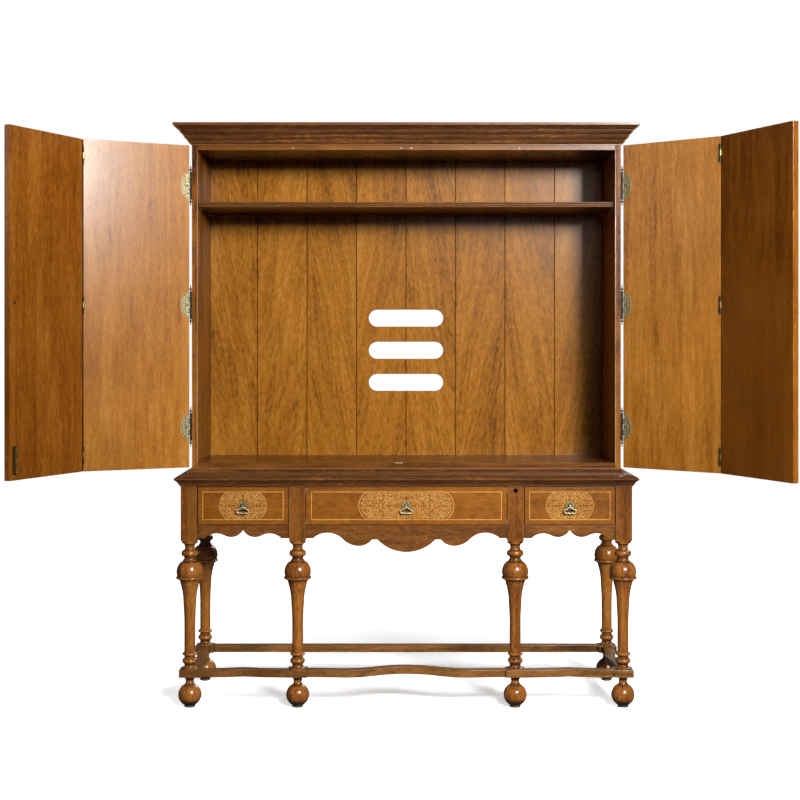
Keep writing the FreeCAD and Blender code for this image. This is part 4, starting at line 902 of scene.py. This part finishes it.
# %% Inlay on the three drawer fronts
# sawn boxwood, stained: honey yellow lines of fine grain, a little cloudy
pale_inlay = wood(
    "boxwood_inlay_stained", ("#8A5A22", "#C08A44", "#D29E58", "#E4B97A"),
    grain="X", figure=0.2, fibre=0.3, mottle=0.3, pores=0.1, gloss=0.32, coat=0.3,
)
FRONT_FACE = -215.5 * MM
FRONT_MIDDLE = 661.75 * MM
FRONT_HEIGHT = 125.5 * MM
SIDE_FRONT, CENTRE_FRONT = 298 * MM, 656 * MM  # widths
DRAWER_X = 534 * MM  # the outer drawers' middle
STRING_INSET = 16.5 * MM
fronts = {
    "left_drawer": (-DRAWER_X, SIDE_FRONT, short_foliage, short_outline),
    "centre_flap": (0.0, CENTRE_FRONT, long_foliage, long_outline),
    "right_drawer": (DRAWER_X, SIDE_FRONT, short_foliage, short_outline),
}
for body, (x, width, foliage, outline) in fronts.items():
    width, height = width - 2 * STRING_INSET, FRONT_HEIGHT - 2 * STRING_INSET
    border = frame_line("border", width, height, 2.2 * MM)
    parts = [thickened(border, INLAY * 0.7), thickened(copied(outline, "outline"), INLAY * 0.85)]
    inlay = joined(f"{body}_marquetry", [*parts, thickened(copied(foliage, "foliage"), INLAY)])
    moved(inlay, Matrix.Translation((x, FRONT_FACE, FRONT_MIDDLE)))
    settled(inlay, pale_inlay, body, "veneered_walnut")
    print(inlay.name, len(inlay.data.polygons), "faces")
thrown_away(short_foliage, long_foliage, short_outline, long_outline)

# %% [markdown]
# ## Cast ornament on the mounts
#
# The hinge leaves are cast plates with raised foliage, almost like lace, inside a plain rim. The
# same sprigs serve again, thicker and with their edges bevelled. One relief is made flat in front
# of the viewer, its lower half a mirror of the upper, and copies go to the twelve leaves: six on
# the doors and six on the case's outer sides.
#
# Doors hang open here, each pair folded in the middle. A relief is easier to place on a shut door,
# where everything is square, so a helper then swings it open about the same two hinge lines as
# the door itself.

# %% One relief for all hinge leaves
HINGE_SIZES = {
    "scroll": (5000, 0.95, 0.72),
    "curl": (6000, 1.0, 0.7),
    "fan": (4000, 1.0, 0.6),
    "leaf": (4000, 1.0, 0.6),
}
RIM_RADIUS = 44.4  # mm
RIM_CENTRE = (-15.3, 4.2)  # mm, behind the leaf's straight edge
HINGE_Z = (915.7 * MM, 1318.9 * MM, 1714.1 * MM)
RELIEF = 0.7 * MM


SCREWS = ((19, 0), (5.5, 31), (5.5, -31))  # mm


def on_leaf(x, z):
    """Inside the upper half of a hinge leaf's rim."""
    far = np.hypot(x - RIM_CENTRE[0], z - RIM_CENTRE[1])
    return (x > 2) & (z > 0.4) & (z < 43) & (far < RIM_RADIUS - 1.8)


def screw(name, radius):
    """A slotted round head that faces the front."""
    piece = started_piece(
        name,
        bpy.ops.mesh.primitive_cylinder_add,
        vertices=20,
        radius=radius,
        depth=0.6 * MM,
        rotation=EDGE_ON,
    )
    pick(lambda place, normal: normal.y < -0.9, faces=True)
    bpy.ops.mesh.inset(thickness=radius * 0.3, depth=radius * 0.16)
    for side in (1, -1):
        sliced((0, 0, side * radius * 0.13), (0, 0, 1))
    slot = (radius * 0.4, radius * 0.12)
    pick(lambda at, normal: normal.y < -0.9 and abs(at.x) < slot[0] and abs(at.z) < slot[1], faces=True)
    bpy.ops.mesh.extrude_region_move(TRANSFORM_OT_translate={"value": (0, radius * 0.2, 0)})
    rest()
    return piece


def hinge_relief():
    """Foliage, rim and screws of a half-oval leaf, 29 mm deep and 92 mm high."""
    foliage = laid_out("hinge_foliage", filled(1, on_leaf, (2, 28), (1, 44), HINGE_SIZES))
    rim = started_piece(
        "hinge_rim",
        bpy.ops.mesh.primitive_circle_add,
        vertices=96,
        radius=RIM_RADIUS * MM,
        fill_type="NGON",
        rotation=EDGE_ON,
        location=(RIM_CENTRE[0] * MM, 0, RIM_CENTRE[1] * MM),
    )
    for normal in ((1, 0, 0), (0, 0, 1)):
        sliced((0.3 * MM, 0, 0), normal, clear_inner=True)
    mirrored(rim, z=True)
    mirrored(foliage, z=True)
    reopened(rim)
    bpy.ops.mesh.dissolve_limited(angle_limit=math.radians(0.5))
    bpy.ops.mesh.inset(thickness=1.5 * MM)
    bpy.ops.mesh.delete(type="FACE")
    thickened(foliage, RELIEF, edge=0.22 * MM)
    thickened(rim, RELIEF, edge=0.25 * MM)
    places = [Matrix.Translation((x * MM, -0.3 * MM, z * MM)) for x, z in SCREWS]
    screws = [moved(screw("screw", 2.6 * MM), place) for place in places]
    return joined("hinge_relief", [foliage, rim, *screws])


relief = hinge_relief()
print("relief", [round(d / MM, 1) for d in relief.dimensions], len(relief.data.polygons), "faces")


# %% Opening what is drawn on a shut door
joints = {joint["name"]: joint for joint in frame["joints"]}
follow = {c["joint"]: c["ratio"] for c in frame["record"]["behaviour"]["couplings"]}
print(sorted(joints))


def turned_about(joint, degrees):
    """A turn about a joint's line."""
    centre = Matrix.Translation(joint["pos_m"])
    return centre @ Matrix.Rotation(math.radians(degrees), 4, Vector(joint["axis"])) @ centre.inverted()


def opened(side, outer):
    """From the right door's shut place to this panel's open one; the left pair is its mirror."""
    swing, fold = joints[f"{side}_door_swing"], joints[f"{side}_door_fold"]
    angle = -swing["range_deg"][0]
    carry = turned_about(swing, angle)
    if outer:
        carry = turned_about(fold, follow[fold["name"]] * angle) @ carry
    return carry if side == "right" else carry @ Matrix.Diagonal((-1, 1, 1, 1))


CASE_SIDE = 710 * MM  # from the middle to the case's outer side
CASE_FRONT = -151.5 * MM
SHUT_BACK = -153.0 * MM  # the inner face of a shut door
to_door = Matrix.Translation((CASE_SIDE, SHUT_BACK, 0)) @ Matrix.Rotation(math.pi, 4, "Z")
on_side = (CASE_SIDE + RELIEF / 2, CASE_FRONT, 0)
to_side = Matrix.Translation(on_side) @ Matrix.Rotation(math.pi / 2, 4, "Z")
across = {"left": Matrix.Diagonal((-1, 1, 1, 1)), "right": Matrix.Identity(4)}
for side in ("left", "right"):
    on_door = [moved(copied(relief, "part"), Matrix.Translation((0, 0, z))) for z in HINGE_Z]
    on_case = [copied(part, "part") for part in on_door]
    leaves = joined(f"{side}_door_hinge_relief", on_door)
    moved(leaves, opened(side, False) @ to_door, side == "left")
    settled(leaves, metals["antique"], f"{side}_inner_panel", "antique_brass")
    leaves = joined(f"{side}_case_hinge_relief", on_case)
    moved(leaves, across[side] @ to_side, side == "left")
    settled(leaves, metals["antique"], "cabinet", "antique_brass")
    print(side, len(leaves.data.polygons), "faces")
thrown_away(relief)

# %% [markdown]
# ## Drawer pulls
#
# A cast rose with a fork holds a loop of round wire in the shape of three lobes. The loop is a
# closed NURBS curve: a circle's handles, doubled, are pulled into lobes, and a round bevel gives
# it its thickness. The rose gets petals, a rim, and a curl on each of its two feet.

# %% Bails
REACH, DROP = 18.2 * MM, 25.2 * MM  # of the wire's middle line
LOBES = (  # out and down, as shares of these two
    *((0, 0.22), (0.25, 0.24), (0.45, 0.40)),  # over the eyelet
    *((0.74, 0.50), (1.06, 0.62), (1.08, 0.90), (0.72, 1.06)),  # the side lobe
    *((0.34, 0.86), (0, 1.06)),  # the middle lobe
)
handles = [*LOBES, *((-out, down) for out, down in reversed(LOBES[1:-1]))]
rest()
bpy.ops.curve.primitive_nurbs_circle_add(radius=REACH, rotation=EDGE_ON)
bail = bpy.context.object
bpy.ops.object.transform_apply(location=True, rotation=True, scale=True)
bpy.ops.object.mode_set(mode="EDIT")
bpy.ops.curve.select_all(action="SELECT")
bpy.ops.curve.subdivide()
rest()
bail.data.splines[0].order_u = 3
for point, (out, down) in zip(bail.data.splines[0].points, handles):
    point.co = (out * REACH, 0, -down * DROP, 1)
bail.data.bevel_depth, bail.data.bevel_resolution, bail.data.resolution_u = 2.2 * MM, 3, 6
hold(bail)
bpy.ops.object.convert(target="MESH")
bail = bpy.context.object
eye = started_piece(
    "eyelet",
    bpy.ops.mesh.primitive_cylinder_add,
    vertices=24,
    radius=3.1 * MM,
    depth=4 * MM,
    rotation=(0, math.pi / 2, 0),
)
pick(lambda place, normal: abs(normal.x) > 0.9, faces=True)
bpy.ops.mesh.inset(thickness=0.6 * MM, depth=0.25 * MM)
rest()
neck = started_piece(
    "neck",
    bpy.ops.mesh.primitive_cylinder_add,
    vertices=16,
    radius=1.8 * MM,
    depth=5 * MM,
    location=(0, 0, -3.5 * MM),
)
pick(lambda place, normal: normal.z < -0.9, faces=True)
bpy.ops.transform.resize(value=(1.25, 1.25, 1))
bail = joined("bail", [bail, eye, neck])
print("bail", [round(d / MM, 1) for d in bail.dimensions], len(bail.data.polygons), "faces")

# %% Petals on the roses
petals = [
    placed(leaf_at_root, 4.2 * MM * math.cos(a), 4.2 * MM * math.sin(a), math.degrees(a) - 20, 0.75)
    for a in (math.tau * i / 8 for i in range(8))
]
ring, _ = strip("ring", [10] * 36, 1.98, [1.7] * 37)
curls = [placed(SPRIGS["curl"], side * 9.3 * MM, -13.2 * MM, 150 * side, 0.62, side) for side in (1, -1)]
rose = thickened(joined("rose", [*petals, centred(ring), *curls]), 1.0 * MM, edge=0.3 * MM)
print("rose", [round(d / MM, 1) for d in rose.dimensions], len(rose.data.polygons), "faces")

PIVOT_Z = 663.25 * MM
BAIL_Y = -225 * MM
ROSE_Y = -218.4 * MM
for side, (body, front) in zip(("left", "centre", "right"), fronts.items()):
    x = front[0]
    loop = moved(copied(bail, f"{side}_bail_wire"), Matrix.Translation((x, BAIL_Y, PIVOT_Z)))
    settled(loop, metals["antique"], f"{side}_drawer_pull", "antique_brass", f"{side}_drawer_bail")
    petals = moved(copied(rose, f"{side}_rose_petals"), Matrix.Translation((x, ROSE_Y, PIVOT_Z)))
    settled(petals, metals["antique"], body, "antique_brass")
thrown_away(bail, rose)

# %% [markdown]
# ## Door faces outside
#
# Shut, the doors show their outer faces: plain veneer with a double line of stringing, and a tall
# cast plate with a drop pull beside the middle. The plate gets the same foliage as the hinges.

# %% Stringing and plates on the doors
Z_DOORS = 1314.5 * MM
DOOR_FRONT = -173 * MM
PANEL_WIDTH, PANEL_HEIGHT = 353.0, 1066.0  # mm
PANELS = {"inner": 533.5 * MM, "outer": 178 * MM}  # the middle of each shut panel, at the right
PLATE_PLACE = (23.5 * MM, -175.7 * MM, 1316 * MM)
for side in ("left", "right"):
    for panel, x in PANELS.items():
        lines = [
            frame_line("line", (PANEL_WIDTH - 2 * inset) * MM, (PANEL_HEIGHT - 2 * inset) * MM, line * MM)
            for inset, line in ((26, 2.6), (31, 1.2))
        ]
        lines = thickened(joined(f"{side}_{panel}_door_stringing", lines), INLAY)
        moved(lines, Matrix.Translation((x, DOOR_FRONT, Z_DOORS)))
        moved(lines, opened(side, panel == "outer"), side == "left")
        settled(lines, pale_inlay, f"{side}_{panel}_panel", "door_walnut")

PLATE_ROWS = (  # kind, x and z in mm, angle, scale and hand; the plate's few sprigs climb it in a row
    ("scroll", 0, 26, 95, 0.9, 1),
    ("fan", 0, 45.5, 90, 1.15, 1),
    ("fan", -7.5, 7, 180, 0.9, 1),
    ("curl", 0.5, 60, 100, 0.95, -1),
    ("leaf", 9, 40, 60, 0.9, 1),
    ("leaf", -9.5, 41, 130, 0.9, -1),
    ("leaf", 9.5, 8, 70, 1, 1),
    ("leaf", 8, 52, 75, 0.8, 1),
)
foliage = laid_out("plate_foliage", PLATE_ROWS)
mirrored(foliage, z=True)
plate_rim = frame_line("plate_rim", 29 * MM, 146.5 * MM, 1.3 * MM)
plate = thickened(joined("plate_relief", [foliage, plate_rim]), RELIEF, edge=0.22 * MM)
for side in ("left", "right"):
    cast = moved(copied(plate, f"{side}_plate_relief"), Matrix.Translation(PLATE_PLACE))
    moved(cast, opened(side, True), side == "left")
    settled(cast, metals["antique"], f"{side}_outer_panel", "antique_brass")
thrown_away(plate, leaf_at_root, *SPRIGS.values())
print("doors dressed")

# %% [markdown]
# ## Softened edges
#
# No cabinetmaker leaves an edge as sharp as a drawn one, and lacquer pulls off a sharp edge; the
# light line that a rounded edge catches is what makes a board look solid. Each board is copied,
# its loose triangles merged into real faces, and its long outer edges bevelled. The copy then
# stands for the board.

# %% Boards with softened edges
slots = {part["node"]: part["material_slot"] for part in frame["record"]["subparts"]}


def eased(name, width, edge_wood=None, shortest=8 * MM):
    """A copy of a solid, its long sharp edges rounded over, perhaps with another wood on them."""
    source = nodes[name]
    body = source["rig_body"]
    piece = copied(source, f"{name}_eased")
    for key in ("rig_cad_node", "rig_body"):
        del piece[key]
    hold(piece)
    bpy.ops.mesh.customdata_custom_splitnormals_clear()
    reopened(piece)
    bpy.ops.mesh.remove_doubles(threshold=0.002 * MM)
    bpy.ops.mesh.dissolve_limited(angle_limit=math.radians(0.2))
    bpy.ops.mesh.select_all(action="DESELECT")
    bpy.ops.mesh.select_mode(type="EDGE")
    mesh = bmesh.from_edit_mesh(piece.data)
    for edge in mesh.edges:
        long_enough = edge.is_manifold and edge.calc_length() > shortest
        if long_enough and edge.calc_face_angle_signed() > math.radians(40):
            edge.select = True
    bmesh.update_edit_mesh(piece.data)
    if edge_wood:
        piece.data.materials.append(edge_wood)
    new_faces = 1 if edge_wood else -1
    bpy.ops.mesh.bevel(offset=width, segments=2, affect="EDGES", clamp_overlap=True, material=new_faces)
    bpy.ops.mesh.select_mode(type="VERT")
    return settled(piece, None, body, slots[name], name, smooth=0)


EASED = (  # the width of the rounding, the wood on it, and the boards
    (2.4 * MM, woods["moulding"], ["left_drawer_front", "right_drawer_front", "centre_fall_front"]),
    (2.4 * MM, woods["moulding"], ["front_aprons", "end_panels"]),
    (1.2 * MM, None, ["shelf", "front_stretcher", "rear_stretcher", "side_stretchers", "stand_top"]),
    (0.8 * MM, None, ["left_inner_door", "right_inner_door", "left_outer_door", "right_outer_door"]),
    (0.8 * MM, None, ["case_left_side", "case_right_side", "case_floor", "case_rails"]),
)
for width, edge_wood, names in EASED:
    for name in names:
        before = nodes[name].dimensions.copy()
        piece = eased(name, width, edge_wood)
        change = max(abs(a - b) for a, b in zip(before, piece.dimensions)) / MM
        print(f"{name}: {len(piece.data.polygons)} faces, {change:.2f} mm smaller")

# %% [markdown]
# ## A bead round the opening
#
# The case's front edges carry a fine rounded bead where the boards meet the opening. It is a long
# thin block with its front edges bevelled to a half round. Its pale pinkish colour is a painted
# highlight, the line of light such a bead catches.

# %% Beads
def bead(name, x, z, width, height):
    """A half-round strip on the case's front, between these places."""
    piece = started_piece(
        name,
        bpy.ops.mesh.primitive_cube_add,
        size=1.0,
        location=(x * MM, CASE_FRONT, z * MM),
        scale=(width * MM, 0.8 * MM, height * MM),
    )
    rest()
    return modified(piece, "BEVEL", width=0.35 * MM, segments=3, limit_method="ANGLE")


BEAD_X, BEAD_Z = 692.1, 1315.5  # mm, its middle
BEAD_WIDTH, BEAD_HEIGHT = 2.2, 1036.0  # mm
beads = [bead("bead", side * BEAD_X, BEAD_Z, BEAD_WIDTH, BEAD_HEIGHT) for side in (-1, 1)]
# sycamore scraped to a bead, lacquered: a thin pinkish line without open pores, its paleness a painted
# highlight
bead_painted_highlight = wood("sycamore_bead_painted_highlight", ("#7A5238", "#9C7355", "#AC8465", "#BC9678"), pores=0.0, coat=0.3)
bead_pair = settled(joined("opening_bead", beads), bead_painted_highlight, "cabinet", "case_walnut")
print("beads", [round(d / MM, 1) for d in bead_pair.dimensions])

# %% [markdown]
# ## The studio
#
# A pale floor runs out to a pale world. The key lamp stands at the right, a little higher than the
# case, and is aimed up so that the doors grow darker downwards; it also puts the pale sheen on the
# left door. A lamp in front adds sheen to the back, one far at the left to the right door, a high
# one lights the stand and the floor, and a rear one keeps the back from going black.
#
# The floor is brightened only for the camera, so that it looks white while the piece is still lit
# at a plain level. Near the piece that brightening fades, so the lit shadow shows, and the fade
# itself darkens the floor round the stand as a painted shadow.

# %% Floor
FLOOR_SIZE = 60.0
FLOOR_WHITE = 0.15  # its whiteness to the piece, which a paler floor would light from below
FLOOR_LIFT = 1.45  # its whiteness to the camera
FLOOR_GLOW = 0.1  # the backdrop's white where the piece stands, again to the camera; kept low there as a painted shadow
FLOOR_SHADOW_FADE = (0.3, 1.2)  # distances between which the painted shadow turns into the backdrop
bpy.ops.object.select_all(action="DESELECT")
bpy.ops.mesh.primitive_plane_add(size=FLOOR_SIZE)
floor = bpy.context.object
floor.name = "studio_floor"
STAND_MIDDLE = (0, 0.35, 0)  # the glow and the fade, and so the painted shadow, are measured from here
# backdrop paper, matt: an even white without a highlight
paper, tree, place = started("paper_backdrop_matt")
camera_ray = add(tree, "LightPath", out="Is Camera Ray")
lift = add(tree, "MapRange", camera_ray, 0.0, 1.0, FLOOR_WHITE, FLOOR_LIFT)
distance = add(tree, "VectorMath", place, STAND_MIDDLE, operation="DISTANCE", out="Value")
# low near the stand: a painted shadow on the floor that only the camera sees
backdrop = add(tree, "MapRange", distance, *FLOOR_SHADOW_FADE, FLOOR_GLOW, 1.0)
sockets = {
    "Base Color": add(tree, "CombineXYZ", lift, lift, lift),
    "Roughness": 0.9,
    "Specular IOR Level": 0.0,
    "Emission Color": linear("#FFFFFF"),
    "Emission Strength": add(tree, "Math", backdrop, camera_ray, operation="MULTIPLY"),
}
finish(floor, surfaced(paper, sockets))
print("floor", FLOOR_SIZE, "m across")

# %% World
AMBIENT = 0.03
GLOSS_SHARE = 0.06  # of the backdrop's white in reflections; the rest of a studio is dim
world = bpy.data.worlds.new("studio_world")
world.use_nodes = True
tree = world.node_tree
tree.nodes.clear()
camera, glass, gloss = [
    add(tree, "LightPath", out=f"Is {kind} Ray") for kind in ("Camera", "Transmission", "Glossy")
]
seen = add(tree, "Math", camera, glass, operation="MAXIMUM")
dim_gloss = add(tree, "Math", gloss, GLOSS_SHARE, operation="MULTIPLY")
seen = add(tree, "Math", seen, dim_gloss, operation="MAXIMUM")
strength = add(tree, "MapRange", seen, 0.0, 1.0, AMBIENT, 1.0)
add(tree, "OutputWorld", Surface=add(tree, "Background", linear("#FFFFFF"), strength))
bpy.context.scene.world = world
print("ambient level", AMBIENT)


# %% Lamps
def softbox(name, azimuth, elevation, distance, size, power, height=1.0, beam=180):
    """A square lamp aimed at this height over the origin; azimuth 0 is in front, 90 to the right."""
    a, e = math.radians(azimuth), math.radians(elevation)
    away = Vector((math.sin(a) * math.cos(e), -math.cos(a) * math.cos(e), math.sin(e)))
    lamp = bpy.data.lights.new(name, "AREA")
    lamp.size, lamp.energy, lamp.spread = size, power, math.radians(beam)
    holder = bpy.data.objects.new(name, lamp)
    holder.location = Vector((0, 0, height)) + away * distance
    holder.rotation_euler = away.to_track_quat("Z", "Y").to_euler()
    bpy.context.scene.collection.objects.link(holder)
    return holder


softbox("key_softbox", 23, -8.8, 5.44, 0.9, 114, height=3.4, beam=70)
softbox("front_softbox", 7, 14.5, 5.5, 1.2, 13)
softbox("fill_softbox", -63, 16, 5.0, 1.3, 9)
softbox("low_softbox", 22, 36, 5.5, 1.2, 27, height=-0.5, beam=50)
softbox("rear_softbox", 155, 28, 6.0, 2.2, 110)
print("five lamps")

# %% [markdown]
# ## The camera
#
# A level camera in front of the case, a little over a metre up. It looks straight ahead, so the
# uprights stay upright, and its shift brings the stand into the picture.

# %% Camera
lens = bpy.data.cameras.new("camera")
lens.lens, lens.sensor_width = 66.2, 36.0
lens.shift_x, lens.shift_y = -0.00075, -0.07425
camera = bpy.data.objects.new("camera", lens)
camera.location = (-0.019, -5.0215, 1.2014)
camera.rotation_euler = (math.radians(90), 0, 0)
bpy.context.scene.collection.objects.link(camera)
bpy.context.scene.camera = camera
bpy.context.scene.view_settings.view_transform = "Standard"
print("camera at", tuple(camera.location))
